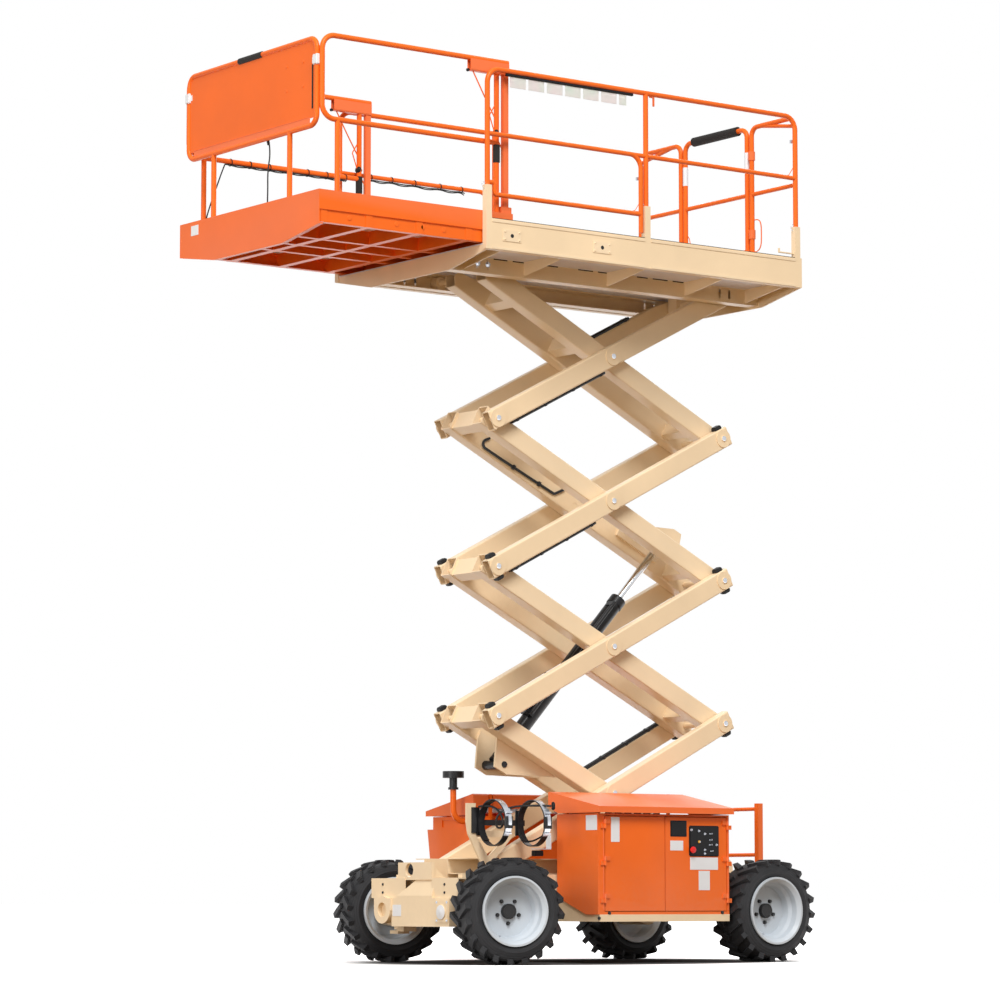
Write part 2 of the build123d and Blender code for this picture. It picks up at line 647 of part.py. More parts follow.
def lift_base_bracket():
    x = LIFT_BASE_ALONG
    z = -LIFT_BASE_BELOW
    low = -ARM_DEPTH / 2 + 10
    pts = [(x + 130, low), (x + 60, z - 48), (x - 45, z - 48), (x - 420, low), (x - 420, 0), (x + 130, 0)]
    plate = prism_xz(pts, PLATE_Y0, PLATE_Y1)
    root = slab(x - 420, x + 130, PLATE_Y1 - 1, INNER_IN + 1, low, 0)
    bore = rod_y(x, z, PIN_R + PIN_FIT, PLATE_Y0 - 5, INNER_IN + 5)
    return both(plate + root - bore)


def lift_rod_bracket():
    x = -LIFT_ROD_ALONG
    z = LIFT_ROD_ABOVE
    top = ARM_DEPTH / 2 - 10
    pts = [(x + 300, top), (x + 30, z + 40), (x - 40, z + 40), (x - 75, top), (x - 75, 0), (x + 300, 0)]
    plate = prism_xz(pts, PLATE_Y0, PLATE_Y1)
    root = slab(x - 75, x + 300, PLATE_Y1 - 1, INNER_IN + 1, 0, top)
    return both(plate + root)


def make_arms():
    for level in range(4):
        z = PIVOT_BASE_Z + ARM_RISE * (level + 0.5)
        spot = Pos(CENTRE_X, 0, z)
        out = outer_pair(level == 0, level == 3)
        inn = inner_pair(level == 0, level == 3)
        if level == 0:
            inn = inn + lift_base_bracket()
        if level == 2:
            inn = inn + lift_rod_bracket()
        save("outer_arms_%d" % (level + 1), spot * Rot(0, ARM_ANGLE, 0) * out)
        save("inner_arms_%d" % (level + 1), spot * Rot(0, -ARM_ANGLE, 0) * inn)


# ---- hoses clipped to the arms ----
HOSE_R = 11.0
HOSE_LOOP_R = 9.0


def hose_pair(x0, x1, side, face):
    """Two hoses on the top (face 1) or underside (face -1) of an outer arm, with their clips."""
    z = face * (ARM_DEPTH / 2 + HOSE_R)
    lead = OUTER_IN + HOSE_R + 3
    body = rod_x(lead, z, HOSE_R, x0, x1) + rod_x(lead + 2 * HOSE_R - 1, z, HOSE_R, x0, x1)
    count = int((x1 - x0) / 230)
    for i in range(count + 1):
        x = x0 + 40 + i * (x1 - x0 - 80) / count
        clip = slab(x - 9, x + 9, lead - HOSE_R - 2, lead + 3 * HOSE_R + 1, z - HOSE_R, z + HOSE_R)
        body = body + clip
    return body if side > 0 else flip(body)


def hose_loop():
    """Hose looped along the inner face of the right arm of the third inner pair."""
    y = -INNER_IN + HOSE_LOOP_R
    path = [(815, y, 36), (886, y, -42), (673, y, -38), (189, y, -20), (130, y, 52)]
    body = pipe(path, HOSE_LOOP_R, 30)
    for x, z in ((560, -34), (330, -25)):
        body = body + slab(x - 9, x + 9, -INNER_IN, y + HOSE_LOOP_R + 2, z - 14, z + 14)
    return body


def make_hoses():
    runs = [("hoses_outer_1", 0, -1095, -160, -1, 1), ("hoses_outer_3", 2, 180, 950, 1, -1)]
    runs += [("hoses_outer_4_left", 3, 90, 940, 1, -1), ("hoses_outer_4_right", 3, -670, -283, -1, 1)]
    for name, level, x0, x1, side, face in runs:
        spot = Pos(CENTRE_X, 0, PIVOT_BASE_Z + ARM_RISE * (level + 0.5))
        save(name, spot * Rot(0, ARM_ANGLE, 0) * hose_pair(x0, x1, side, face))
    spot = Pos(CENTRE_X, 0, PIVOT_BASE_Z + ARM_RISE * 2.5)
    save("hose_inner_3", spot * Rot(0, -ARM_ANGLE, 0) * hose_loop())


# ---- lift cylinder ----
def on_inner(level, along, above):
    a = math.radians(ARM_ANGLE)
    z = PIVOT_BASE_Z + ARM_RISE * (level + 0.5)
    x = CENTRE_X + along * math.cos(a) - above * math.sin(a)
    return x, z + along * math.sin(a) + above * math.cos(a)


def make_lift():
    bx, bz = on_inner(0, LIFT_BASE_ALONG, -LIFT_BASE_BELOW)
    rx, rz = on_inner(2, -LIFT_ROD_ALONG, LIFT_ROD_ABOVE)
    slope = math.degrees(math.atan2(rz - bz, bx - rx))
    reach = math.hypot(rx - bx, rz - bz)
    place = Pos(bx, 0, bz) * Rot(0, slope, 0)
    trunnion = rod_y(0, 0, 30, -PLATE_Y0 + 3, PLATE_Y0 - 3)
    pin = rod_y(0, 0, PIN_R, -INNER_IN, INNER_IN)
    body = rod_x(0, 0, BARREL_R, -BARREL_LEN, -20) + rod_x(0, 0, BARREL_R + 5, -BARREL_LEN, -BARREL_LEN + 60)
    lean = math.radians(55)
    tube_y = (BARREL_R + 19) * math.sin(lean)
    tube_z = (BARREL_R + 19) * math.cos(lean)
    body = body + rod_x(tube_y, tube_z, 15, -BARREL_LEN + 70, -420)
    for x in (-BARREL_LEN + 70, -900, -440):
        body = body + slab(x, x + 34, 0, tube_y + 12, 20, tube_z + 14)
    body = body + slab(-760, -420, -BARREL_R + 8, BARREL_R - 8, BARREL_R - 10, BARREL_R + 38)
    body = body + rod_z(-520, 0, 22, BARREL_R + 30, BARREL_R + 64)
    body = body + rod_z(-640, 0, 17, BARREL_R + 30, BARREL_R + 58)
    bore = rod_x(0, 0, ROD_R + PIN_PLAY, -BARREL_LEN - 5, -BARREL_LEN + 41)
    bore = bore + rod_x(0, 0, ROD_R + 4, -BARREL_LEN + 40, -90)
    save("lift_barrel", place * (body + trunnion + pin - bore))
    rod = rod_x(0, 0, ROD_R, -reach, -reach + ROD_LEN)
    eye = rod_y(-reach, 0, EYE_R, -40, 40)
    stub = rod_y(-reach, 0, PIN_R + 6, -PLATE_Y0 + 5, PLATE_Y0 - 5)
    save("lift_rod", place * (rod + eye + stub))


# ---- platform ----
FLOOR_LOW = DECK_PIVOT_Z + ROLLER_R + ROLLER_FIT + TRACK_WALL + 2
FLOOR_TOP = FLOOR_LOW + 8


def roller_track(x0, x1):
    half = ROLLER_R + ROLLER_FIT
    z = DECK_PIVOT_Z
    solid = slab(x0, x1, DECK_TRACK_Y0, DECK_TRACK_Y1, z - half - TRACK_WALL, FLOOR_LOW)
    return solid - slab(x0 + 8, x1 - 8, DECK_TRACK_Y0 - 1, DECK_TRACK_Y1 - 6, z - half, z + half)


def platform_frame():
    side = slab(DECK_REAR, DECK_FRONT, DECK_HALF - SHEET, DECK_HALF, DECK_PANEL_LOW, DECK_PANEL_TOP)
    lip = slab(DECK_REAR, DECK_FRONT, DECK_HALF - 30, DECK_HALF, DECK_PANEL_TOP - 8, DECK_PANEL_TOP)
    foot = slab(DECK_REAR, DECK_FRONT, DECK_HALF - 50, DECK_HALF, DECK_PANEL_LOW, DECK_PANEL_LOW + 8)
    track = roller_track(DECK_REAR + 5, DECK_FRONT - 10)
    body = both(side + lip + foot + track)
    low = DECK_PIVOT_Z - ROLLER_R - ROLLER_FIT - 18
    top = FLOOR_LOW
    prof = [(-DECK_HALF, DECK_PANEL_LOW), (-440, low), (440, low), (DECK_HALF, DECK_PANEL_LOW)]
    prof += [(DECK_HALF, top), (-DECK_HALF, top)]
    body = body + prism_yz(prof, DECK_FRONT - 12, DECK_FRONT)
    body = body + prism_yz(prof, DECK_REAR, DECK_REAR + 12)
    for x in (-1175, -650, 11, 693, 1180):
        rib = [(DECK_TRACK_Y1 - 2, DECK_PIVOT_Z - 40), (DECK_HALF - 20, DECK_PANEL_LOW + 4)]
        rib += [(DECK_HALF - 4, top), (DECK_TRACK_Y1 - 2, top)]
        body = body + both(prism_yz(rib, x - 4, x + 4))
    for x in (984, 1070, -953, -1036):
        oval = slab(x - 10, x + 10, DECK_TRACK_Y1 - 20, DECK_TRACK_Y1 + 5, DECK_PIVOT_Z - 16, DECK_PIVOT_Z + 28)
        oval = oval + rod_y(x, DECK_PIVOT_Z - 16, 10, DECK_TRACK_Y1 - 20, DECK_TRACK_Y1 + 5)
        oval = oval + rod_y(x, DECK_PIVOT_Z + 28, 10, DECK_TRACK_Y1 - 20, DECK_TRACK_Y1 + 5)
        body = body - both(oval)
    for x in (1180, DECK_REAR + 60):
        body = body + slab(x - 20, x + 20, -DECK_TRACK_Y0 - 4, DECK_TRACK_Y0 + 4, top - 30, top)
    lug = slab(PIVOT_REAR_X - 55, PIVOT_REAR_X + 55, INNER_IN + 8, INNER_OUT - 8, DECK_PIVOT_Z - 45, top)
    lug = lug - rod_y(PIVOT_REAR_X, DECK_PIVOT_Z, PIN_R + PIN_FIT, INNER_IN, INNER_OUT)
    hanger = slab(PIVOT_REAR_X - 90, PIVOT_REAR_X - 55, INNER_IN + 8, DECK_TRACK_Y0 + 4, top - 60, top)
    body = body + both(lug + hanger)
    for x in POST_X:
        hole = rod_z(x, DECK_HALF - 20, RAIL_R, deck_z(192), deck_z(452))
        body = body + both(deck_socket(x)) - both(hole)
    return body


POST_X = (1300.0, 20.0, -1265.0)


def deck_socket(x):
    return slab(x - 22, x + 22, DECK_HALF - 40, DECK_HALF, DECK_PANEL_LOW, deck_z(429))


def platform_floor():
    plate = slab(DECK_REAR, DECK_FRONT, -DECK_HALF + SHEET, DECK_HALF - SHEET, FLOOR_LOW, FLOOR_TOP)
    for x in POST_X:
        plate = plate - both(deck_socket(x))
    pad = slab(DECK_FRONT - 75, DECK_FRONT - 25, EXT_HALF - 35, EXT_HALF - 5, FLOOR_TOP, EXT_LOW - PIN_PLAY)
    return plate + both(pad)


REAR_POST_Y = 378.0
REAR_MID = deck_z(717)
GATE_Y = 330.0
GATE_LOW = deck_z(192)
GATE_HINGES = (deck_z(412), deck_z(952))


def side_rail():
    y = DECK_HALF - 20
    f, m, r = POST_X
    hoop = pipe([(f, y, deck_z(192)), (f, y, RAIL_TOP), (r, y, RAIL_TOP), (r, y, deck_z(192))], RAIL_R, RAIL_BEND)
    mid = straight((m, y, deck_z(192)), (m, y, RAIL_TOP), RAIL_R)
    bar = straight((f, y, RAIL_MID), (r, y, RAIL_MID), RAIL_R - 2)
    low = pipe([(f, y, RAIL_LOW + 75), (f - 55, y, RAIL_LOW + 75), (f - 55, y, RAIL_LOW),
                (m + 42, y, RAIL_LOW)], RAIL_R - 2, 18)
    low = low + pipe([(f - 100, y, RAIL_MID), (m + 42, y, RAIL_MID), (m + 42, y, deck_z(252))],
                     RAIL_R - 2, RAIL_BEND)
    side = pipe([(r, REAR_POST_Y, FLOOR_TOP), (r, REAR_POST_Y, RAIL_TOP), (r, y - 60, RAIL_TOP)], RAIL_R, 60)
    link = straight((r, REAR_POST_Y + 80, RAIL_TOP), (r, y, RAIL_TOP - 60), RAIL_R - 4)
    cross = straight((r, REAR_POST_Y, REAR_MID), (r, y, REAR_MID), RAIL_R - 2)
    return hoop + mid + bar + low + side + cross + link


def gate():
    x = POST_X[2]
    y = GATE_Y
    hoop = pipe([(x, -y, GATE_LOW), (x, -y, RAIL_TOP), (x, y, RAIL_TOP), (x, y, GATE_LOW)], RAIL_R, 60)
    bar = straight((x, -y, REAR_MID), (x, y, REAR_MID), RAIL_R - 2)
    low = straight((x, -y, deck_z(332)), (x, y, deck_z(332)), RAIL_R - 2)
    body = hoop + bar + low
    for z in GATE_HINGES:
        body = body + slab(x - 6, x + 6, y, REAR_POST_Y, z, z + 60)
        body = body + rod_z(x, REAR_POST_Y, RAIL_R + 6, z, z + 60)
        body = body - rod_z(x, REAR_POST_Y, RAIL_R + PIN_PLAY, z - 5, z + 65)
    return body


def make_platform():
    save("platform_frame", platform_frame())
    save("platform_floor", platform_floor())
    left = side_rail()
    save("rail_left", left)
    save("rail_right", flip(left))
    save("gate", gate())
    grip = rod_y(POST_X[2], RAIL_TOP, 32, -235, 235) - rod_y(POST_X[2], RAIL_TOP, RAIL_R, -240, 240)
    save("gate_grip", grip)


# ---- roll-out deck ----
EXT_LOW = FLOOR_TOP + 8
EXT_FLOOR = deck_z(152)
FOLD = 10.0
EXT_PLATE = 6.0
FRONT_RAIL_X = 2532.0
FRONT_RAIL_Y = 735.0
FRONT_RAIL_LOW = deck_z(682)
FRONT_RAIL_TOP = deck_z(1224)


def extension_deck():
    prof = [(-EXT_HALF, deck_z(54)), (-390, deck_z(-12)), (390, deck_z(-12)), (EXT_HALF, deck_z(54))]
    prof += [(EXT_HALF, EXT_TOP), (-EXT_HALF, EXT_TOP)]
    body = prism_yz(prof, EXT_FRONT - 6, EXT_FRONT)
    brim = [(-EXT_HALF, deck_z(54)), (-390, deck_z(-12)), (390, deck_z(-12)), (EXT_HALF, deck_z(54))]
    brim += [(EXT_HALF, deck_z(62)), (388, deck_z(-4)), (-388, deck_z(-4)), (-EXT_HALF, deck_z(62))]
    body = body + prism_yz(brim, EXT_FRONT - 30, EXT_FRONT)
    side = slab(EXT_REAR, EXT_FRONT, EXT_HALF - 6, EXT_HALF, EXT_FLOOR, EXT_TOP)
    web = slab(EXT_REAR, EXT_FRONT - 6, EXT_HALF - FOLD - 6, EXT_HALF - FOLD, EXT_LOW, EXT_FLOOR)
    shelf = slab(EXT_REAR, EXT_FRONT - 6, EXT_HALF - 50, EXT_HALF, EXT_FLOOR - 6, EXT_FLOOR)
    foot = slab(EXT_REAR, EXT_FRONT - 6, EXT_HALF - 50, EXT_HALF - FOLD, EXT_LOW, EXT_LOW + 6)
    channel = web + shelf + foot
    pad = slab(EXT_REAR, EXT_REAR + 80, EXT_HALF - 35, EXT_HALF - 5, FLOOR_TOP + PIN_PLAY, EXT_LOW)
    body = body + both(side + channel + pad)
    for y in (0, 260):
        body = body + both(slab(EXT_REAR, EXT_FRONT - 6, y - 20, y + 20, EXT_LOW, EXT_FLOOR))
    for x in (EXT_REAR + 25, 1420, 1800, 2180, EXT_FRONT - 40):
        body = body + slab(x - 25, x + 25, -EXT_HALF + 6, EXT_HALF - 6, EXT_LOW, EXT_FLOOR)
    return body


def extension_floor():
    return slab(EXT_REAR, EXT_FRONT - 6, -EXT_HALF + 6, EXT_HALF - 6, EXT_FLOOR, EXT_FLOOR + EXT_PLATE)


def extension_rail():
    y = EXT_RAIL_Y
    loop = pipe([(1185, y, EXT_RAIL_MID), (2515, y, EXT_RAIL_MID), (2515, y, EXT_RAIL_TOP),
                 (1096, y, EXT_RAIL_TOP)], RAIL_R, RAIL_BEND)
    front = straight((2400, y, EXT_FLOOR + EXT_PLATE), (2400, y, EXT_RAIL_MID), RAIL_R)
    rear = straight((1185, y, EXT_FLOOR + EXT_PLATE), (1185, y, EXT_RAIL_TOP), RAIL_R)
    return loop + front + rear


def front_rail():
    x = FRONT_RAIL_X
    y = FRONT_RAIL_Y
    half = pipe([(x, 0, FRONT_RAIL_LOW), (x, y, FRONT_RAIL_LOW), (x, y, FRONT_RAIL_TOP), (x, 0, FRONT_RAIL_TOP)],
                RAIL_R, 70)
    post = straight((x, 437, EXT_FLOOR + EXT_PLATE), (x, 437, FRONT_RAIL_LOW), RAIL_R)
    edge = RAIL_R - 2
    plate = slab(x + 2, x + 6, 0, y - edge, FRONT_RAIL_LOW + 45, FRONT_RAIL_TOP - edge)
    tab = slab(x - 2, x + 2, 300, 340, FRONT_RAIL_LOW + 8, FRONT_RAIL_LOW + 60)
    return both(half + post + plate + tab)


def make_extension():
    save("extension_deck", extension_deck())
    save("extension_floor", extension_floor())
    left = extension_rail()
    save("extension_rail_left", left)
    save("extension_rail_right", flip(left))
    save("front_rail", front_rail())


make_wheels()
make_knuckles()
make_chassis()
make_engine_box()
make_tank_box()
make_cradle_and_ladder()
make_arms()
make_hoses()
make_lift()
make_platform()
make_extension()
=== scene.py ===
# Rough-terrain scissor lift: the finish and the small fittings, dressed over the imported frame.
import json
import math

import bpy
import bmesh
from mathutils import Matrix, Vector


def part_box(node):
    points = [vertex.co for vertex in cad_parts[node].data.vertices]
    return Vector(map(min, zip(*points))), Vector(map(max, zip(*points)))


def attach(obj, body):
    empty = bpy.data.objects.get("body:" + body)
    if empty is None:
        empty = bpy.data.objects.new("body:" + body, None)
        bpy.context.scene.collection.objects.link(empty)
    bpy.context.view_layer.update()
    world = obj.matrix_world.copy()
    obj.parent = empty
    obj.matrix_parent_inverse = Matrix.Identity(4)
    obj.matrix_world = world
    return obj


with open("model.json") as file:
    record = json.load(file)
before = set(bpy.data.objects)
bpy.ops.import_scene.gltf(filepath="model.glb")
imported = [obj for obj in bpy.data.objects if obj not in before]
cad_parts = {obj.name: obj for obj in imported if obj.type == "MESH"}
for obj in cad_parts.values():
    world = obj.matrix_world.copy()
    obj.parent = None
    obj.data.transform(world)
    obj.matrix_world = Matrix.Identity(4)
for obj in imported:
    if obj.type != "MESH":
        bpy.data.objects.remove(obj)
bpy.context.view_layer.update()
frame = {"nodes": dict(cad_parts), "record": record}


# ---- The studio ----
# A plain pale floor under soft overhead light. Lit floor reads as white; the shade that the machine throws
# shows on it, and a dark oval of painted shadow under the wheelbase deepens it. The world behind is white
# too. Eye, mirror and glass rays see the white, and the rays that light the machine find a darker floor and a
# softer sky.
# Painted shadow: a dark oval in the floor colour under the wheelbase, given by its middle, half lengths, soft
# edge and tone.
PAINTED_SHADOW_MIDDLE = -0.603
PAINTED_SHADOW_LONG = 1.85
PAINTED_SHADOW_WIDE = 1.30
PAINTED_SHADOW_EDGE = (0.70, 1.12)
PAINTED_SHADOW_TONE = (0.10, 0.10, 0.10, 1)
FLOOR_WHITE = (2.1, 2.1, 2.1, 1)
FLOOR_BOUNCE = (0.21, 0.125, 0.045, 1)
SKY_SOFT = 0.60
SKY_WHITE = 1.0


def floor_white(name):
    """Matt floor that is pale to the eye, with a dark oval of painted shadow under the machine; it reflects
    only a little light upwards.
    """
    mat = bpy.data.materials.new(name)
    mat.use_nodes = True
    nodes = mat.node_tree.nodes
    links = mat.node_tree.links
    nodes.clear()
    out = nodes.new("ShaderNodeOutputMaterial")
    shown = nodes.new("ShaderNodeBsdfDiffuse")
    place = nodes.new("ShaderNodeTexCoord")
    painted_shadow_oval = nodes.new("ShaderNodeMapping")
    painted_shadow_oval.inputs["Scale"].default_value = (1 / PAINTED_SHADOW_LONG, 1 / PAINTED_SHADOW_WIDE, 1)
    painted_shadow_oval.inputs["Location"].default_value = (-PAINTED_SHADOW_MIDDLE / PAINTED_SHADOW_LONG, 0, 0)
    reach = nodes.new("ShaderNodeVectorMath")
    reach.operation = "LENGTH"
    edge = nodes.new("ShaderNodeMapRange")
    edge.interpolation_type = "SMOOTHSTEP"
    edge.inputs["From Min"].default_value = PAINTED_SHADOW_EDGE[0]
    edge.inputs["From Max"].default_value = PAINTED_SHADOW_EDGE[1]
    # Painted shadow: inside the oval the floor colour fades from white to the dark tone.
    shade = nodes.new("ShaderNodeMix")
    shade.data_type = "RGBA"
    shade.inputs["A"].default_value = PAINTED_SHADOW_TONE
    shade.inputs["B"].default_value = FLOOR_WHITE
    links.new(place.outputs["Object"], painted_shadow_oval.inputs["Vector"])
    links.new(painted_shadow_oval.outputs["Vector"], reach.inputs[0])
    links.new(reach.outputs["Value"], edge.inputs["Value"])
    links.new(edge.outputs["Result"], shade.inputs["Factor"])
    links.new(shade.outputs["Result"], shown.inputs["Color"])
    bounce = nodes.new("ShaderNodeBsdfDiffuse")
    bounce.inputs["Color"].default_value = FLOOR_BOUNCE
    ray = nodes.new("ShaderNodeLightPath")
    mirrored = nodes.new("ShaderNodeMath")
    mirrored.operation = "MAXIMUM"
    seen = nodes.new("ShaderNodeMath")
    seen.operation = "MAXIMUM"
    pick = nodes.new("ShaderNodeMixShader")
    links.new(ray.outputs["Is Camera Ray"], seen.inputs[0])
    links.new(ray.outputs["Is Glossy Ray"], mirrored.inputs[0])
    links.new(ray.outputs["Is Transmission Ray"], mirrored.inputs[1])
    links.new(mirrored.outputs[0], seen.inputs[1])
    links.new(seen.outputs[0], pick.inputs["Fac"])
    links.new(bounce.outputs[0], pick.inputs[1])
    links.new(shown.outputs[0], pick.inputs[2])
    links.new(pick.outputs[0], out.inputs["Surface"])
    return mat


floor_mesh = bpy.data.meshes.new("studio_floor")
floor_mesh.from_pydata([(-200, -200, 0), (200, -200, 0), (200, 200, 0), (-200, 200, 0)], [], [(0, 1, 2, 3)])
floor_mesh.materials.append(floor_white("studio_floor_white"))
studio_floor = bpy.data.objects.new("studio_floor", floor_mesh)
bpy.context.collection.objects.link(studio_floor)

world = bpy.data.worlds.new("studio")
bpy.context.scene.world = world
world.use_nodes = True
sky = world.node_tree.nodes
sky_links = world.node_tree.links
sky.clear()
sky_out = sky.new("ShaderNodeOutputWorld")
sky_soft = sky.new("ShaderNodeBackground")
sky_soft.inputs["Color"].default_value = (1, 1, 1, 1)
sky_soft.inputs["Strength"].default_value = SKY_SOFT
sky_white = sky.new("ShaderNodeBackground")
sky_white.inputs["Color"].default_value = (1, 1, 1, 1)
sky_white.inputs["Strength"].default_value = SKY_WHITE
sky_ray = sky.new("ShaderNodeLightPath")
sky_pick = sky.new("ShaderNodeMixShader")
sky_mirrored = sky.new("ShaderNodeMath")
sky_mirrored.operation = "MAXIMUM"
sky_seen = sky.new("ShaderNodeMath")
sky_seen.operation = "MAXIMUM"
sky_links.new(sky_ray.outputs["Is Camera Ray"], sky_seen.inputs[0])
sky_links.new(sky_ray.outputs["Is Glossy Ray"], sky_mirrored.inputs[0])
sky_links.new(sky_ray.outputs["Is Transmission Ray"], sky_mirrored.inputs[1])
sky_links.new(sky_mirrored.outputs[0], sky_seen.inputs[1])
sky_links.new(sky_seen.outputs[0], sky_pick.inputs["Fac"])
sky_links.new(sky_soft.outputs[0], sky_pick.inputs[1])
sky_links.new(sky_white.outputs[0], sky_pick.inputs[2])
sky_links.new(sky_pick.outputs[0], sky_out.inputs["Surface"])


def area_lamp(name, place, aim, size, power):
    data = bpy.data.lights.new(name, "AREA")
    data.shape = "DISK"
    data.size = size
    data.energy = power
    lamp = bpy.data.objects.new(name, data)
    lamp.location = place
    lamp.rotation_euler = (Vector(aim) - Vector(place)).to_track_quat("-Z", "Y").to_euler()
    bpy.context.collection.objects.link(lamp)


area_lamp("key_overhead", (8, 16, 21), (-0.3, 0, 2.0), 12, 5600)
area_lamp("fill_front", (17, 5, 4.5), (0, 0, 2.2), 9, 1180)
area_lamp("rim_back", (-9, -7, 10), (0, 0, 2.5), 6, 400)

camera_data = bpy.data.cameras.new("camera")
camera_data.sensor_width = 36.0
camera_data.lens = 137.34
camera_data.clip_end = 500.0
camera = bpy.data.objects.new("camera", camera_data)
camera.location = (14.758, 19.856, 0.410)
camera.rotation_euler = (math.radians(90 + 5.967), 0, math.radians(143.348))
bpy.context.collection.objects.link(camera)
bpy.context.scene.camera = camera
bpy.context.scene.view_settings.view_transform = "Standard"


# ---- Painted steel ----
# Two-pack enamel, beige on the frame and arms and orange on the boxes and rails, over welded
# steel. It has a faint orange peel, slightly duller patches, dust low down and worn edges.
def enamel(name, colour, rough=0.32, dust=0.10, peel_size=420.0, wear=0.25, shine=0.22):
    mat = bpy.data.materials.new(name)
    mat.use_nodes = True
    nodes = mat.node_tree.nodes
    links = mat.node_tree.links
    shader = nodes["Principled BSDF"]
    shader.inputs["Coat Weight"].default_value = 0.05
    shader.inputs["Specular IOR Level"].default_value = shine
    shader.inputs["Coat Roughness"].default_value = 0.14
    where = nodes.new("ShaderNodeTexCoord")
    patches = nodes.new("ShaderNodeTexNoise")
    patches.inputs["Scale"].default_value = 2.6
    patches.inputs["Detail"].default_value = 5
    links.new(where.outputs["Object"], patches.inputs["Vector"])
    tone = nodes.new("ShaderNodeMapRange")
    tone.inputs["From Min"].default_value = 0.3
    tone.inputs["From Max"].default_value = 0.7
    links.new(patches.outputs["Fac"], tone.inputs["Value"])
    base = nodes.new("ShaderNodeMix")
    base.data_type = "RGBA"
    base.inputs["A"].default_value = (*[c * 0.95 for c in colour], 1)
    base.inputs["B"].default_value = (*[min(1, c * 1.04) for c in colour], 1)
    links.new(tone.outputs["Result"], base.inputs["Factor"])
    height = nodes.new("ShaderNodeSeparateXYZ")
    links.new(where.outputs["Object"], height.inputs["Vector"])
    low = nodes.new("ShaderNodeMapRange")
    low.inputs["From Min"].default_value = 0.70
    low.inputs["From Max"].default_value = 0.10
    low.inputs["To Max"].default_value = dust * 2.2
    links.new(height.outputs["Z"], low.inputs["Value"])
    speck = nodes.new("ShaderNodeTexNoise")
    speck.inputs["Scale"].default_value = 34
    speck.inputs["Detail"].default_value = 8
    links.new(where.outputs["Object"], speck.inputs["Vector"])
    dusty = nodes.new("ShaderNodeMath")
    dusty.operation = "MULTIPLY"
    links.new(low.outputs["Result"], dusty.inputs[0])
    links.new(speck.outputs["Fac"], dusty.inputs[1])
    coat = nodes.new("ShaderNodeMix")
    coat.data_type = "RGBA"
    coat.inputs["B"].default_value = (0.42, 0.34, 0.25, 1)
    links.new(dusty.outputs[0], coat.inputs["Factor"])
    links.new(base.outputs["Result"], coat.inputs["A"])
    edges = nodes.new("ShaderNodeNewGeometry")
    sharp = nodes.new("ShaderNodeMapRange")
    sharp.inputs["From Min"].default_value = 0.56
    sharp.inputs["From Max"].default_value = 0.72
    sharp.inputs["To Max"].default_value = wear
    links.new(edges.outputs["Pointiness"], sharp.inputs["Value"])
    worn = nodes.new("ShaderNodeMix")
    worn.data_type = "RGBA"
    worn.inputs["B"].default_value = (*[min(1, c * 0.5 + 0.32) for c in colour], 1)
    links.new(sharp.outputs["Result"], worn.inputs["Factor"])
    links.new(coat.outputs["Result"], worn.inputs["A"])
    links.new(worn.outputs["Result"], shader.inputs["Base Color"])
    gloss = nodes.new("ShaderNodeMapRange")
    gloss.inputs["To Min"].default_value = rough - 0.05
    gloss.inputs["To Max"].default_value = rough + 0.10
    links.new(patches.outputs["Fac"], gloss.inputs["Value"])
    links.new(gloss.outputs["Result"], shader.inputs["Roughness"])
    peel = nodes.new("ShaderNodeTexNoise")
    peel.inputs["Scale"].default_value = peel_size
    peel.inputs["Detail"].default_value = 2
    links.new(where.outputs["Object"], peel.inputs["Vector"])
    bump = nodes.new("ShaderNodeBump")
    bump.inputs["Strength"].default_value = 0.05
    bump.inputs["Distance"].default_value = 0.0006
    links.new(peel.outputs["Fac"], bump.inputs["Height"])
    links.new(bump.outputs["Normal"], shader.inputs["Normal"])
    return mat


def dress(names, mat):
    for name in names:
        node = frame["nodes"][name]
        node.data.materials.clear()
        node.data.materials.append(mat)


def nodes_in(slot):
    return [part["node"] for part in frame["record"]["subparts"] if part["material_slot"] == slot]


beige = enamel("beige_enamel", (0.83, 0.645, 0.42))
orange = enamel("orange_enamel", (0.84, 0.142, 0.012), rough=0.32, shine=0.16)
deck_paint = enamel("pale_deck_enamel", (0.66, 0.60, 0.60), rough=0.5)
dress(nodes_in("machine_beige"), beige)
dress(nodes_in("machine_orange"), orange)
dress(nodes_in("deck_plate"), deck_paint)


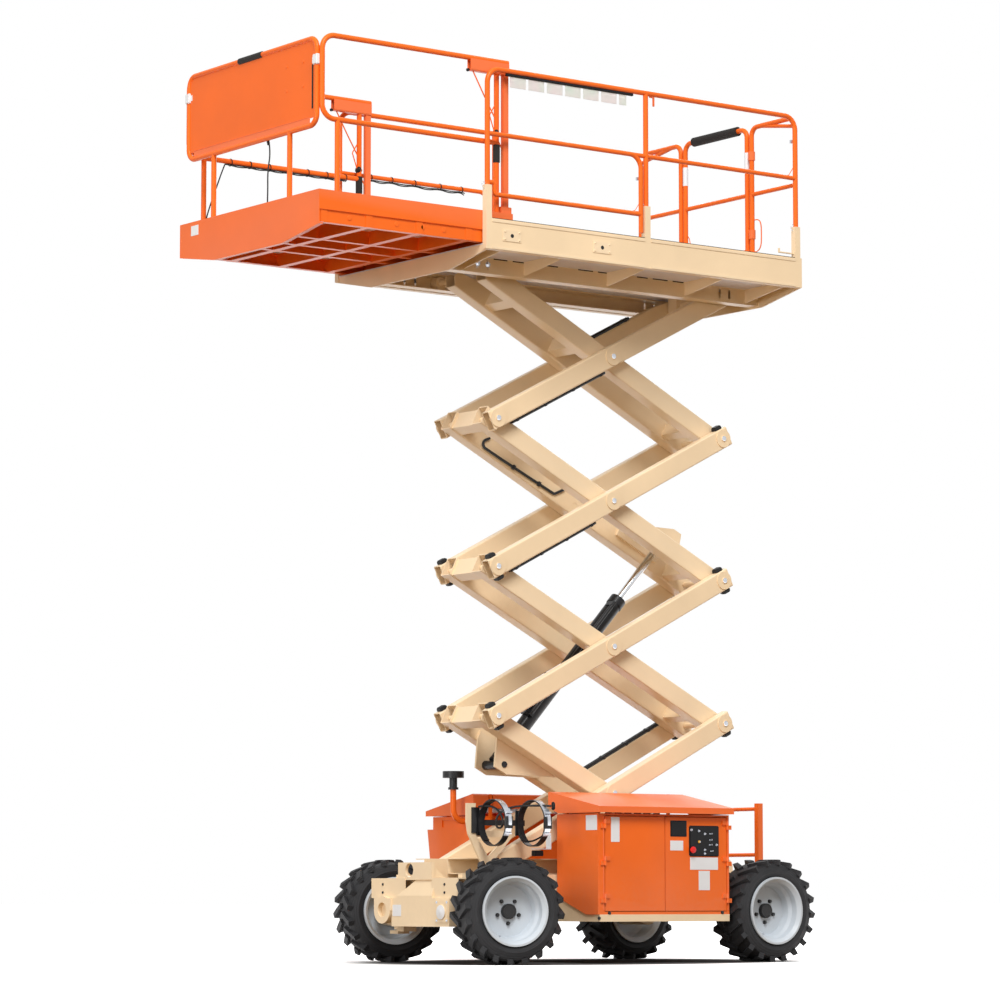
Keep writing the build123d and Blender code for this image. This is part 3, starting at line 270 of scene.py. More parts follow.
# ---- Wheels ----
# Lugged rubber tyres on silver steel rims. Each disc is held by five wheel nuts round a dark
# hub cap, and a valve stem stands in the gutter of the rim.
def tyre_rubber(name, hub, axle):
    """Matt rubber with moulded rings round the sidewall, centred on its own hub."""
    mat = bpy.data.materials.new(name)
    mat.use_nodes = True
    nodes = mat.node_tree.nodes
    links = mat.node_tree.links
    shader = nodes["Principled BSDF"]
    where = nodes.new("ShaderNodeTexCoord")
    centred = nodes.new("ShaderNodeVectorMath")
    centred.operation = "SUBTRACT"
    centred.inputs[1].default_value = hub
    links.new(where.outputs["Object"], centred.inputs[0])
    along = nodes.new("ShaderNodeVectorMath")
    along.operation = "DOT_PRODUCT"
    along.inputs[1].default_value = axle
    links.new(centred.outputs["Vector"], along.inputs[0])
    total = nodes.new("ShaderNodeVectorMath")
    total.operation = "LENGTH"
    links.new(centred.outputs["Vector"], total.inputs[0])
    square = nodes.new("ShaderNodeMath")
    square.operation = "MULTIPLY"
    links.new(total.outputs["Value"], square.inputs[0])
    links.new(total.outputs["Value"], square.inputs[1])
    side = nodes.new("ShaderNodeMath")
    side.operation = "MULTIPLY"
    links.new(along.outputs["Value"], side.inputs[0])
    links.new(along.outputs["Value"], side.inputs[1])
    rest = nodes.new("ShaderNodeMath")
    rest.operation = "SUBTRACT"
    links.new(square.outputs[0], rest.inputs[0])
    links.new(side.outputs[0], rest.inputs[1])
    radius = nodes.new("ShaderNodeMath")
    radius.operation = "SQRT"
    links.new(rest.outputs[0], radius.inputs[0])
    rings = nodes.new("ShaderNodeMath")
    rings.operation = "MULTIPLY"
    rings.inputs[1].default_value = 420.0
    links.new(radius.outputs[0], rings.inputs[0])
    wave = nodes.new("ShaderNodeMath")
    wave.operation = "SINE"
    links.new(rings.outputs[0], wave.inputs[0])
    grain = nodes.new("ShaderNodeTexNoise")
    grain.inputs["Scale"].default_value = 260
    grain.inputs["Detail"].default_value = 6
    links.new(where.outputs["Object"], grain.inputs["Vector"])
    relief = nodes.new("ShaderNodeMath")
    relief.operation = "ADD"
    links.new(wave.outputs[0], relief.inputs[0])
    links.new(grain.outputs["Fac"], relief.inputs[1])
    bump = nodes.new("ShaderNodeBump")
    bump.inputs["Strength"].default_value = 0.35
    bump.inputs["Distance"].default_value = 0.0012
    links.new(relief.outputs[0], bump.inputs["Height"])
    links.new(bump.outputs["Normal"], shader.inputs["Normal"])
    bloom = nodes.new("ShaderNodeTexNoise")
    bloom.inputs["Scale"].default_value = 9
    bloom.inputs["Detail"].default_value = 7
    links.new(where.outputs["Object"], bloom.inputs["Vector"])
    tint = nodes.new("ShaderNodeMix")
    tint.data_type = "RGBA"
    tint.inputs["A"].default_value = (0.009, 0.009, 0.010, 1)
    tint.inputs["B"].default_value = (0.024, 0.024, 0.026, 1)
    links.new(bloom.outputs["Fac"], tint.inputs["Factor"])
    links.new(tint.outputs["Result"], shader.inputs["Base Color"])
    shader.inputs["Roughness"].default_value = 0.68
    shader.inputs["Specular IOR Level"].default_value = 0.25
    return mat


def head_tree():
    """Node tree that sets a bolt or pin head on every point, facing the way the point faces."""
    tree = bpy.data.node_groups.new("fastener_heads", "GeometryNodeTree")
    face = tree.interface
    face.new_socket("Spots", in_out="INPUT", socket_type="NodeSocketGeometry")
    face.new_socket("Radius", in_out="INPUT", socket_type="NodeSocketFloat")
    face.new_socket("Height", in_out="INPUT", socket_type="NodeSocketFloat")
    face.new_socket("Sides", in_out="INPUT", socket_type="NodeSocketInt")
    face.new_socket("Washer", in_out="INPUT", socket_type="NodeSocketFloat")
    face.new_socket("Finish", in_out="INPUT", socket_type="NodeSocketMaterial")
    face.new_socket("Heads", in_out="OUTPUT", socket_type="NodeSocketGeometry")
    nodes = tree.nodes
    links = tree.links
    given = nodes.new("NodeGroupInput")
    done = nodes.new("NodeGroupOutput")
    shank = nodes.new("GeometryNodeMeshCone")
    crown = nodes.new("GeometryNodeMeshCone")
    washer = nodes.new("GeometryNodeMeshCone")

    def times(value, factor):
        node = nodes.new("ShaderNodeMath")
        node.operation = "MULTIPLY"
        node.inputs[1].default_value = factor
        links.new(value, node.inputs[0])
        return node.outputs[0]

    radius = given.outputs["Radius"]
    height = given.outputs["Height"]
    for cone, low, top, tall, wide in (
        (shank, 1.0, 1.0, 0.72, radius),
        (crown, 1.0, 0.8, 0.28, radius),
        (washer, 1.0, 0.96, 0.16, given.outputs["Washer"]),
    ):
        links.new(times(wide, low), cone.inputs["Radius Bottom"])
        links.new(times(wide, top), cone.inputs["Radius Top"])
        links.new(times(height, tall), cone.inputs["Depth"])
    links.new(given.outputs["Sides"], shank.inputs["Vertices"])
    links.new(given.outputs["Sides"], crown.inputs["Vertices"])
    washer.inputs["Vertices"].default_value = 24
    raised = nodes.new("ShaderNodeCombineXYZ")
    links.new(times(height, 0.72), raised.inputs["Z"])
    lift = nodes.new("GeometryNodeTransform")
    links.new(crown.outputs["Mesh"], lift.inputs["Geometry"])
    links.new(raised.outputs[0], lift.inputs["Translation"])
    join = nodes.new("GeometryNodeJoinGeometry")
    for part in (shank.outputs["Mesh"], lift.outputs["Geometry"], washer.outputs["Mesh"]):
        links.new(part, join.inputs["Geometry"])
    facing = nodes.new("GeometryNodeInputNamedAttribute")
    facing.data_type = "FLOAT_VECTOR"
    facing.inputs["Name"].default_value = "facing"
    turn = nodes.new("FunctionNodeAlignEulerToVector")
    turn.axis = "Z"
    links.new(facing.outputs["Attribute"], turn.inputs["Vector"])
    place = nodes.new("GeometryNodeInstanceOnPoints")
    links.new(given.outputs["Spots"], place.inputs["Points"])
    links.new(join.outputs["Geometry"], place.inputs["Instance"])
    links.new(turn.outputs["Rotation"], place.inputs["Rotation"])
    real = nodes.new("GeometryNodeRealizeInstances")
    links.new(place.outputs["Instances"], real.inputs["Geometry"])
    paint = nodes.new("GeometryNodeSetMaterial")
    links.new(real.outputs["Geometry"], paint.inputs["Geometry"])
    links.new(given.outputs["Finish"], paint.inputs["Material"])
    links.new(paint.outputs["Geometry"], done.inputs["Heads"])
    return tree


heads = head_tree()


def fasteners(name, spots, radius, height, mat, body, sides=6, washer=0.0):
    """Bolt or pin heads at the spots, each a point and the way it faces, as one plain mesh."""
    mesh = bpy.data.meshes.new(name)
    mesh.from_pydata([tuple(point) for point, way in spots], [], [])
    facing = mesh.attributes.new("facing", "FLOAT_VECTOR", "POINT")
    for i, (point, way) in enumerate(spots):
        facing.data[i].vector = way
    piece = bpy.data.objects.new(name, mesh)
    bpy.context.collection.objects.link(piece)
    modifier = piece.modifiers.new("heads", "NODES")
    modifier.node_group = heads
    values = {"Radius": radius, "Height": height, "Sides": sides, "Washer": washer or radius * 1.02,
              "Finish": mat}
    for item in heads.interface.items_tree:
        if item.in_out == "INPUT" and item.name in values:
            modifier[item.identifier] = values[item.name]
    graph = bpy.context.evaluated_depsgraph_get()
    plain = bpy.data.meshes.new_from_object(piece.evaluated_get(graph), depsgraph=graph)
    piece.modifiers.clear()
    piece.data = plain
    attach(piece, body)
    return piece


def finish_piece(name, shape, mat, body, smooth=0.0):
    """Turns a bmesh into a piece that rides on a body; smooth is the angle below which edges round off."""
    bmesh.ops.remove_doubles(shape, verts=shape.verts, dist=1e-6)
    bmesh.ops.recalc_face_normals(shape, faces=shape.faces)
    mesh = bpy.data.meshes.new(name)
    shape.to_mesh(mesh)
    shape.free()
    mesh.materials.append(mat)
    if smooth:
        mesh.shade_smooth()
        mesh.set_sharp_from_angle(angle=math.radians(smooth))
    piece = bpy.data.objects.new(name, mesh)
    bpy.context.collection.objects.link(piece)
    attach(piece, body)
    return piece


def turned(profile, centre, axis, steps=48, shape=None):
    """Round shape from (radius, height) pairs, turned about the axis; closed when it ends on it."""
    shape = shape or bmesh.new()
    spin = Vector(axis).to_track_quat("Z", "Y").to_matrix().to_4x4()
    spin.translation = centre
    rows = []
    for radius, rise in profile:
        if radius < 1e-6:
            rows.append([shape.verts.new(spin @ Vector((0, 0, rise)))] * steps)
        else:
            ring = [2 * math.pi * i / steps for i in range(steps)]
            rows.append([shape.verts.new(spin @ Vector((radius * math.cos(a), radius * math.sin(a), rise)))
                         for a in ring])
    for below, above in zip(rows, rows[1:]):
        for i in range(steps):
            j = (i + 1) % steps
            corners = [below[i], below[j], above[j], above[i]]
            unique = list(dict.fromkeys(corners))
            if len(unique) > 2:
                shape.faces.new(unique)
    return shape


rim_silver = enamel("rim_silver_enamel", (0.53, 0.58, 0.63), rough=0.36, dust=0.06)
black_paint = enamel("black_enamel", (0.009, 0.009, 0.010), rough=0.35, dust=0.01, wear=0.03)
zinc = bpy.data.materials.new("zinc_plate")
zinc.use_nodes = True
zinc_nodes = zinc.node_tree.nodes
zinc_shader = zinc_nodes["Principled BSDF"]
zinc_shader.inputs["Metallic"].default_value = 0.85
zinc_noise = zinc_nodes.new("ShaderNodeTexNoise")
zinc_noise.inputs["Scale"].default_value = 60
zinc_tint = zinc_nodes.new("ShaderNodeMix")
zinc_tint.data_type = "RGBA"
zinc_tint.inputs["A"].default_value = (0.42, 0.45, 0.50, 1)
zinc_tint.inputs["B"].default_value = (0.62, 0.64, 0.68, 1)
zinc_rough = zinc_nodes.new("ShaderNodeMapRange")
zinc_rough.inputs["To Min"].default_value = 0.22
zinc_rough.inputs["To Max"].default_value = 0.42
zinc_where = zinc_nodes.new("ShaderNodeTexCoord")
zinc.node_tree.links.new(zinc_where.outputs["Object"], zinc_noise.inputs["Vector"])
zinc.node_tree.links.new(zinc_noise.outputs["Fac"], zinc_tint.inputs["Factor"])
zinc.node_tree.links.new(zinc_noise.outputs["Fac"], zinc_rough.inputs["Value"])
zinc.node_tree.links.new(zinc_tint.outputs["Result"], zinc_shader.inputs["Base Color"])
zinc.node_tree.links.new(zinc_rough.outputs["Result"], zinc_shader.inputs["Roughness"])
dress(nodes_in("wheel_silver"), rim_silver)

for end in ("front", "rear"):
    for hand, side in (("left", 1), ("right", -1)):
        low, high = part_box("rim_%s_%s" % (end, hand))
        hub = (Vector(low) + Vector(high)) / 2
        turn = math.radians(15) if end == "front" else 0.0
        axle = Vector((math.sin(turn), math.cos(turn), 0)) * side
        dress(["tyre_%s_%s" % (end, hand)], tyre_rubber("tyre_rubber_%s_%s" % (end, hand), hub, axle))
        across = axle.cross(Vector((0, 0, 1))).normalized()
        face = hub + axle * 0.014
        spots = []
        for i in range(5):
            angle = math.radians(72 * i - 90)
            ray = across * math.cos(angle) + Vector((0, 0, 1)) * math.sin(angle)
            spots.append((face + ray * 0.075, axle))
        wheel = "wheel_%s_%s" % (end, hand)
        fasteners("wheel_nuts_%s_%s" % (end, hand), spots, 0.0125, 0.017, black_paint, wheel)
        cap = turned([(0.0448, 0.014), (0.0475, 0.014), (0.0475, 0.040), (0.0445, 0.0435), (0.038, 0.0435),
                      (0.036, 0.0415), (0, 0.0415)], hub, axle)
        finish_piece("hub_cap_%s_%s" % (end, hand), cap, black_paint, wheel, 30)
        stem_from = hub + axle * 0.086 + (across * 0.5 - Vector((0, 0, 0.866))) * 0.182
        stem = turned([(0.0045, 0), (0.0045, 0.022), (0.006, 0.022), (0.006, 0.032), (0.004, 0.035),
                       (0, 0.035)],
                      stem_from, axle * 0.94 + Vector((0, 0, 0.2)), 14)
        finish_piece("valve_%s_%s" % (end, hand), stem, zinc, wheel, 30)


# ---- Nose of the chassis ----
# Welded beige housing between two open cross tubes, with a bolted cover, a bare plate and the
# bolts of the tow fittings. Everything here is fixed to the chassis.
nose_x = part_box("extension_deck")[1][0] - 2.556


def at(x, y, z):
    """A point of the machine's own drawing, in millimetres from the middle of the wheelbase."""
    return Vector((x / 1000 + nose_x, y / 1000, z / 1000))


def block(low, high, edge=1.5, shape=None, turn=None):
    """Rounded block between two drawing corners, turned by a matrix when one is given."""
    shape = shape or bmesh.new()
    a, b = at(*low), at(*high)
    made = bmesh.ops.create_cube(shape, size=1.0)["verts"]
    for vert in made:
        vert.co = Vector([(a[i] + b[i]) / 2 + vert.co[i] * abs(b[i] - a[i]) for i in range(3)])
    edges = list({e for v in made for e in v.link_edges})
    if edge:
        made = bmesh.ops.bevel(shape, geom=edges, offset=edge / 1000, segments=2, affect="EDGES")["verts"]
    if turn:
        bmesh.ops.transform(shape, matrix=turn, verts=list(set(made)))
    return shape


label_white = enamel("label_film", (0.76, 0.77, 0.79), rough=0.42, wear=0.0)
black_plastic = enamel("black_plastic", (0.009, 0.009, 0.010), rough=0.55, dust=0.01, wear=0.0, shine=0.12)

tow_bolts = [(at(1268, y, z), (1, 0, 0)) for y, z in ((333, 500), (333, 449), (-343, 502), (-343, 450))]
fasteners("tow_bar_bolts", tow_bolts, 0.0085, 0.006, black_paint, "chassis")
cover_bolts = [(at(1289, y, z), (1, 0, 0)) for y in (276, 384) for z in (274, 388)]
fasteners("cover_bolts", cover_bolts, 0.006, 0.005, zinc, "chassis", washer=0.009)
cover = turned([(0, 0), (0.045, 0), (0.045, 0.0015), (0.042, 0.0025), (0.012, 0.0025), (0.010, 0.0035),
                (0, 0.0035)],
               at(1295, 327, 326), (1, 0, 0))
finish_piece("nose_cover", cover, label_white, "chassis", 30)
finish_piece("nose_plate", block((1283, -213, 300), (1284.5, -118, 372), 0.6), label_white, "chassis")


# ---- Gas cylinder cradle ----
# Black hoops on a black bracket, with bright steel bands that carry the over-centre buckles,
# a short gas hose with knurled end fittings, and a small pressure switch below.
def wire(name, points, thick, mat, body, order=3, cyclic=False, sides=3):
    """Round bar, hose or cable along a smooth line through drawing points."""
    curve = bpy.data.curves.new(name, "CURVE")
    curve.dimensions = "3D"
    curve.bevel_depth = thick / 2000
    curve.bevel_resolution = sides
    curve.resolution_u = 8
    curve.use_fill_caps = not cyclic
    line = curve.splines.new("NURBS")
    line.points.add(len(points) - 1)
    for spot, point in zip(line.points, points):
        spot.co = (*at(*point), 1)
    line.order_u = min(order, len(points))
    line.use_endpoint_u = not cyclic
    line.use_cyclic_u = cyclic
    holder = bpy.data.objects.new(name, curve)
    bpy.context.collection.objects.link(holder)
    graph = bpy.context.evaluated_depsgraph_get()
    mesh = bpy.data.meshes.new_from_object(holder.evaluated_get(graph), depsgraph=graph)
    bpy.data.objects.remove(holder)
    mesh.materials.clear()
    mesh.materials.append(mat)
    mesh.shade_smooth()
    mesh.set_sharp_from_angle(angle=math.radians(40))
    piece = bpy.data.objects.new(name, mesh)
    bpy.context.collection.objects.link(piece)
    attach(piece, body)
    return piece


def band(x, a0, a1, inner, outer, half, shape, y=483.0, z=887.0, steps=20):
    """Strip bent to an arc round a hoop, between two angles up from the outer side."""
    rings = []
    for i in range(steps + 1):
        angle = math.radians(a0 + (a1 - a0) * i / steps)
        ring = []
        for side, r in ((-half, inner), (half, inner), (half, outer), (-half, outer)):
            ring.append(shape.verts.new(at(x + side, y + r * math.cos(angle), z + r * math.sin(angle))))
        rings.append(ring)
    for below, above in zip(rings, rings[1:]):
        for i in range(4):
            shape.faces.new([below[i], below[(i + 1) % 4], above[(i + 1) % 4], above[i]])
    shape.faces.new(list(reversed(rings[0])))
    shape.faces.new(rings[-1])
    return shape


bands = bmesh.new()
for x in (990, 682):
    band(x, -34, 78, 148.2, 150.5, 20, bands)
    band(x, -22, 34, 152.5, 158.0, 21, bands)
    band(x, -6, 16, 158.0, 168.0, 12, bands)
    band(x, 20, 24, 158.0, 172.0, 21, bands)
    band(x, -26, -23, 152.0, 170.0, 21, bands)
finish_piece("strap_bands", bands, zinc, "chassis", 30)
lining = bmesh.new()
for x in (990, 682):
    band(x, 96, 232, 136.5, 141.8, 24, lining)
finish_piece("strap_linings", lining, black_plastic, "chassis", 30)
hose_black = enamel("hose_rubber", (0.014, 0.014, 0.015), rough=0.48, wear=0.0, peel_size=700)
dress(nodes_in("hose_black"), hose_black)
wire("gas_hose", [(1010, 345, 990), (1000, 420, 1000), (985, 520, 970), (975, 560, 900), (960, 520, 850),
                  (940, 430, 860), (900, 380, 930), (830, 400, 985), (740, 500, 1000), (650, 625, 994)],
     14, hose_black, "chassis")
finish_piece("gas_hose_knob", turned([(0, 0), (0.022, 0), (0.026, 0.004), (0.026, 0.014), (0.020, 0.02),
                                      (0, 0.02)],
                                     at(646, 628, 994), (-1, 0.6, 0), 20), black_plastic, "chassis",
                                     30)
wire("strap_tails", [(700, 352, 850), (730, 420, 770), (690, 520, 772), (676, 610, 823)], 12, black_plastic,
     "chassis")
switch = block((575, 405, 680), (640, 450, 716), 3)
finish_piece("gas_switch", switch, black_plastic, "chassis")
shelf = block((520, 408, 722), (645, 460, 728), 1.5)
block((520, 408, 728), (526, 460, 815), 1.5, shelf)
finish_piece("gas_switch_bracket", shelf, label_white, "chassis")


# ---- Engine box ----
# Sheet steel doors on long steel hinges. The rear door holds the control panel, with its
# switches, gauges and red stop button; bare plates sit where notices would be.
def door_label(name, x0, x1, z0, z1, body):
    shape = block((x0, 799.5, z0), (x1, 801.2, z1), 0.5)
    return finish_piece(name, shape, label_white, body)


strips = bmesh.new()
for x in (366, -661):
    for z0, z1 in ((336, 382), (416, 619), (653, 853), (887, 930)):
        block((x - 4, 799, z0), (x + 4, 802, z1), 0.8, strips)
finish_piece("door_hinge_strips", strips, orange, "chassis")
box_bolts = [(at(x, 800, z), (0, 1, 0)) for x, z in ((319, 319), (-611, 321))]
box_bolts.append((at(401, 800, 288), (0, 1, 0)))
fasteners("box_bolts", box_bolts, 0.010, 0.007, black_paint, "chassis", washer=0.013)
seal = bmesh.new()
for i in range(6):
    block((340 - i * 78, 782, 948), (292 - i * 78, 799, 955), 1.5, seal)
finish_piece("hood_rests", seal, black_plastic, "chassis")
door_label("door_plate_tall", 236, 305, 769, 926, "front_engine_door")
door_label("door_plate_small", -286, -179, 718, 781, "rear_engine_door")
door_label("door_plate_wide", -576, -343, 596, 675, "rear_engine_door")
door_label("door_plate_low", -507, -414, 465, 589, "rear_engine_door")
end_label = block((409.5, 677, 843), (411.2, 791, 938), 0.5)
finish_piece("box_end_plate", end_label, label_white, "chassis")

panel = block((-581, 798, 682), (-334, 806, 879), 6)
block((-574, 804, 689), (-341, 807.5, 872), 1.5, panel)
finish_piece("control_panel", panel, black_plastic, "rear_engine_door", 30)
gauge = block((-315, 798, 807), (-180, 803, 910), 2)
block((-309, 801, 813), (-186, 804.5, 904), 1.5, gauge)
for i in range(5):
    block((-302, 803, 822 + i * 16), (-193, 806.5, 827 + i * 16), 1.0, gauge)
finish_piece("engine_vent", gauge, black_plastic, "rear_engine_door")
knobs = [(-411, 845), (-461, 827), (-415, 775), (-460, 724), (-460, 700), (-348, 851), (-558, 757)]
fasteners("panel_switches", [(at(x, 807.5, z), (0, 1, 0)) for x, z in knobs], 0.005, 0.010, zinc,
          "rear_engine_door", sides=20, washer=0.0075)
levers = bmesh.new()
for x, z in ((-511, 827), (-511, 788), (-511, 756), (-519, 716)):
    block((x - 14, 807, z - 2), (x + 14, 809, z + 2), 0.6, levers)
    turned([(0.0028, 0), (0.0035, 0.014), (0.002, 0.017), (0, 0.017)], at(x, 808, z), (0.1, 1, 0.25), 12,
           levers)
finish_piece("panel_toggles", levers, zinc, "rear_engine_door", 30)
red = enamel("stop_red", (0.72, 0.02, 0.018), rough=0.3, wear=0.0)
stop = turned([(0.012, 0), (0.012, 0.012), (0.020, 0.012), (0.0215, 0.016), (0.0205, 0.023), (0.014, 0.027),
               (0, 0.028)], at(-350, 807, 723), (0, 1, 0), 32)
finish_piece("stop_button", stop, red, "rear_engine_door", 40)
yellow = enamel("key_yellow", (0.80, 0.42, 0.03), rough=0.4, wear=0.0)
key = turned([(0.0085, 0), (0.0085, 0.006), (0.006, 0.008), (0, 0.008)], at(-413, 807, 775), (0, 1, 0), 24)
finish_piece("engine_switch_ring", key, yellow, "rear_engine_door", 30)


# ---- Scissor arms ----
# Welded box tubes that cross in pairs on steel pins with plated heads. Black rubber bumpers
# sit over and under some of the end pins, and clipped hoses run along the arms.
slope = math.atan2(958, 1888)


def on_arm(level, along, above, y):
    """Drawing point on an outer arm: along it from its middle pin, front end positive."""
    x = -120 + along * math.cos(slope) + above * math.sin(slope)
    z = 616 + 958 * (level - 0.5) - along * math.sin(slope) + above * math.cos(slope)
    return (x, y, z)


half_arm = math.hypot(1888, 958) / 2
for level in range(1, 5):
    spots = []
    for along in (0, half_arm, -half_arm):
        if level == 1 and along > 0:
            continue
        for side in (1, -1):
            x, y, z = on_arm(level, along, 0, side * 309)
            spots.append((at(x, y, z), (0, side, 0)))
    fasteners("arm_pin_heads_%d" % level, spots, 0.0165, 0.0028, zinc, "outer_%d" % level,
              sides=28, washer=0.0175)

bumper_rubber = enamel("bumper_rubber", (0.013, 0.013, 0.013), rough=0.7, wear=0.0)
places = {1: [(-1, -1)], 2: [(1, 1), (1, -1), (-1, 1), (-1, -1)], 3: [(1, 1), (1, -1), (-1, 1)]}
for level, spots in places.items():
    shape = bmesh.new()
    for end, face in spots:
        for side in (1, -1):
            middle = at(*on_arm(level, end * 1062, face * 78, side * 263))
            tilt = Matrix.Translation(middle) @ Matrix.Rotation(slope, 4, "Y")
            part = bmesh.new()
            made = bmesh.ops.create_cube(part, size=1.0)["verts"]
            for vert in made:
                flare = 1.0 if vert.co.z * face > 0 else 1.18
                vert.co = (vert.co.x * 0.052 * flare, vert.co.y * 0.048 * flare, vert.co.z * 0.026)
            bmesh.ops.bevel(part, geom=part.edges[:], offset=0.005, segments=3, affect="EDGES")
            bmesh.ops.transform(part, matrix=tilt, verts=part.verts)
            hold = bpy.data.meshes.new("bumper_part")
            part.to_mesh(hold)
            part.free()
            shape.from_mesh(hold)
            bpy.data.meshes.remove(hold)
    finish_piece("arm_bumpers_%d" % level, shape, bumper_rubber, "outer_%d" % level, 40)


# ---- Lift cylinder ----
# One black-painted barrel with welded ports and pipe, and a hard-chromed rod. It leans across
# three levels of arms from a pin in the lowest inner pair.
dress(nodes_in("black_steel"), black_paint)
dress(["cradle_straps"], black_paint)
chrome = bpy.data.materials.new("hard_chrome")
chrome.use_nodes = True
chrome_nodes = chrome.node_tree.nodes
chrome_shader = chrome_nodes["Principled BSDF"]
chrome_shader.inputs["Metallic"].default_value = 1
chrome_shader.inputs["Base Color"].default_value = (0.62, 0.64, 0.67, 1)
chrome_where = chrome_nodes.new("ShaderNodeTexCoord")
chrome_grain = chrome_nodes.new("ShaderNodeTexNoise")
chrome_grain.inputs["Scale"].default_value = 90
chrome_rough = chrome_nodes.new("ShaderNodeMapRange")
chrome_rough.inputs["To Min"].default_value = 0.08
chrome_rough.inputs["To Max"].default_value = 0.22
chrome.node_tree.links.new(chrome_where.outputs["Object"], chrome_grain.inputs["Vector"])
chrome.node_tree.links.new(chrome_grain.outputs["Fac"], chrome_rough.inputs["Value"])
chrome.node_tree.links.new(chrome_rough.outputs["Result"], chrome_shader.inputs["Roughness"])
dress(nodes_in("chrome_rod"), chrome)
foam = enamel("grip_foam", (0.020, 0.018, 0.017), rough=0.85, wear=0.0, peel_size=160)
dress(nodes_in("foam_black"), foam)


# ---- Platform frame ----
# Folded beige side panels with bolted wear plates, slots in the inner webs and a dark rubber edge to the
# floor. The slots and the grease holes in the wear plates are flat black pieces of painted shade. Post
# sockets carry small spring clips.
deck_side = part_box("platform_frame")[1][1] * 1000
plates = bmesh.new()
bolts = []
painted_hole_shade = bmesh.new()
for x0, x1 in ((1049, 1194), (324, 473)):
    for side in (1, -1):
        block((x0, side * deck_side - 1, 4527), (x1, side * (deck_side + 4), 4605), 2,
              plates) if side > 0 else \
            block((x0, side * (deck_side + 4), 4527), (x1, side * deck_side + 1, 4605), 2, plates)
        for x in (x0 + 16, x1 - 16):
            for z in (4542, 4590):
                bolts.append((at(x, side * (deck_side + 4), z), (0, side, 0)))
        # Painted shade: a flat black disc stands for the shaded inside of each grease hole.
        turned([(0, 0), (0.013, 0), (0.012, 0.0012), (0, 0.0012)],
               at((x0 + x1) / 2, side * (deck_side + 4), 4566), (0, side, 0), 24, painted_hole_shade)
finish_piece("wear_plates", plates, beige, "platform")
fasteners("wear_plate_bolts", bolts, 0.0065, 0.004, beige, "platform")
finish_piece("wear_plate_grease_hole_shade", painted_hole_shade, black_paint, "platform", 30)

# Painted shade: thin black strips on the web stand for the shaded inside of each slot.
painted_slot_shade = bmesh.new()
for x0, x1 in ((829, 939), (668, 786), (418, 540), (129, 252), (4, 87), (-331, -240), (-501, -374),
               (-637, -544)):
    for side in (1, -1):
        low, high = sorted((side * 404.5, side * 405.8))
        block((x0, low, 4493), (x1, high, 4502), 0.4, painted_slot_shade)
finish_piece("web_slot_painted_shade", painted_slot_shade, black_paint, "platform")
web_bolts = [(at(x, side * 405, 4456), (0, side, 0)) for x in (1066, 986) for side in (1, -1)]
fasteners("web_bolts", web_bolts, 0.014, 0.016, zinc, "platform", washer=0.018)
edge = bmesh.new()
for x0, x1 in ((44, 1276), (-1241, -4)):
    for side in (1, -1):
        low, high = sorted((side * (deck_side - 30), side * (deck_side + 0.6)))
        block((x0, low, 4664.5), (x1, high, 4669), 1, edge)
finish_piece("panel_edge_trim", edge, black_plastic, "platform")
lips = bmesh.new()
for x0, x1 in ((44, 1276), (-1241, -4)):
    for side in (1, -1):
        for z0, z1 in ((4641, 4658), (4470, 4486)):
            low, high = sorted((side * (deck_side - 0.5), side * (deck_side + 3.5)))
            block((x0, low, z0), (x1, high, z1), 1.5, lips)
finish_piece("panel_folded_lips", lips, beige, "platform")
clips = []
for x in (1300, 20, -1265):
    for side in (1, -1):
        y = side * (deck_side - 20)
        clips.append(wire("socket_clip", [(x + 19, y, 4850), (x + 40, y, 4852), (x + 44, y, 4880),
                                          (x + 30, y, 4896),
                                          (x + 18, y, 4888)], 5, zinc, "platform"))
for i, clip in enumerate(clips):
    clip.name = "socket_clip_%d" % (i + 1)


# ---- Platform rails ----
# Orange tube rails. The near top rail carries a dark strip with clear tabs, and a hook, wire
# lock pins and a bent latch hang from the posts.
clear = bpy.data.materials.new("clear_tab")
clear.use_nodes = True
clear_nodes = clear.node_tree.nodes
clear_shader = clear_nodes["Principled BSDF"]
clear_shader.inputs["Transmission Weight"].default_value = 0.25
clear_shader.inputs["Roughness"].default_value = 0.35
clear_shader.inputs["IOR"].default_value = 1.45
clear_where = clear_nodes.new("ShaderNodeTexCoord")
clear_noise = clear_nodes.new("ShaderNodeTexNoise")
clear_noise.inputs["Scale"].default_value = 5
clear_tint = clear_nodes.new("ShaderNodeMix")
clear_tint.data_type = "RGBA"
clear_tint.inputs["A"].default_value = (0.50, 0.76, 0.60, 1)
clear_tint.inputs["B"].default_value = (0.88, 0.62, 0.70, 1)
clear.node_tree.links.new(clear_where.outputs["Object"], clear_noise.inputs["Vector"])
clear.node_tree.links.new(clear_noise.outputs["Fac"], clear_tint.inputs["Factor"])
clear.node_tree.links.new(clear_tint.outputs["Result"], clear_shader.inputs["Base Color"])

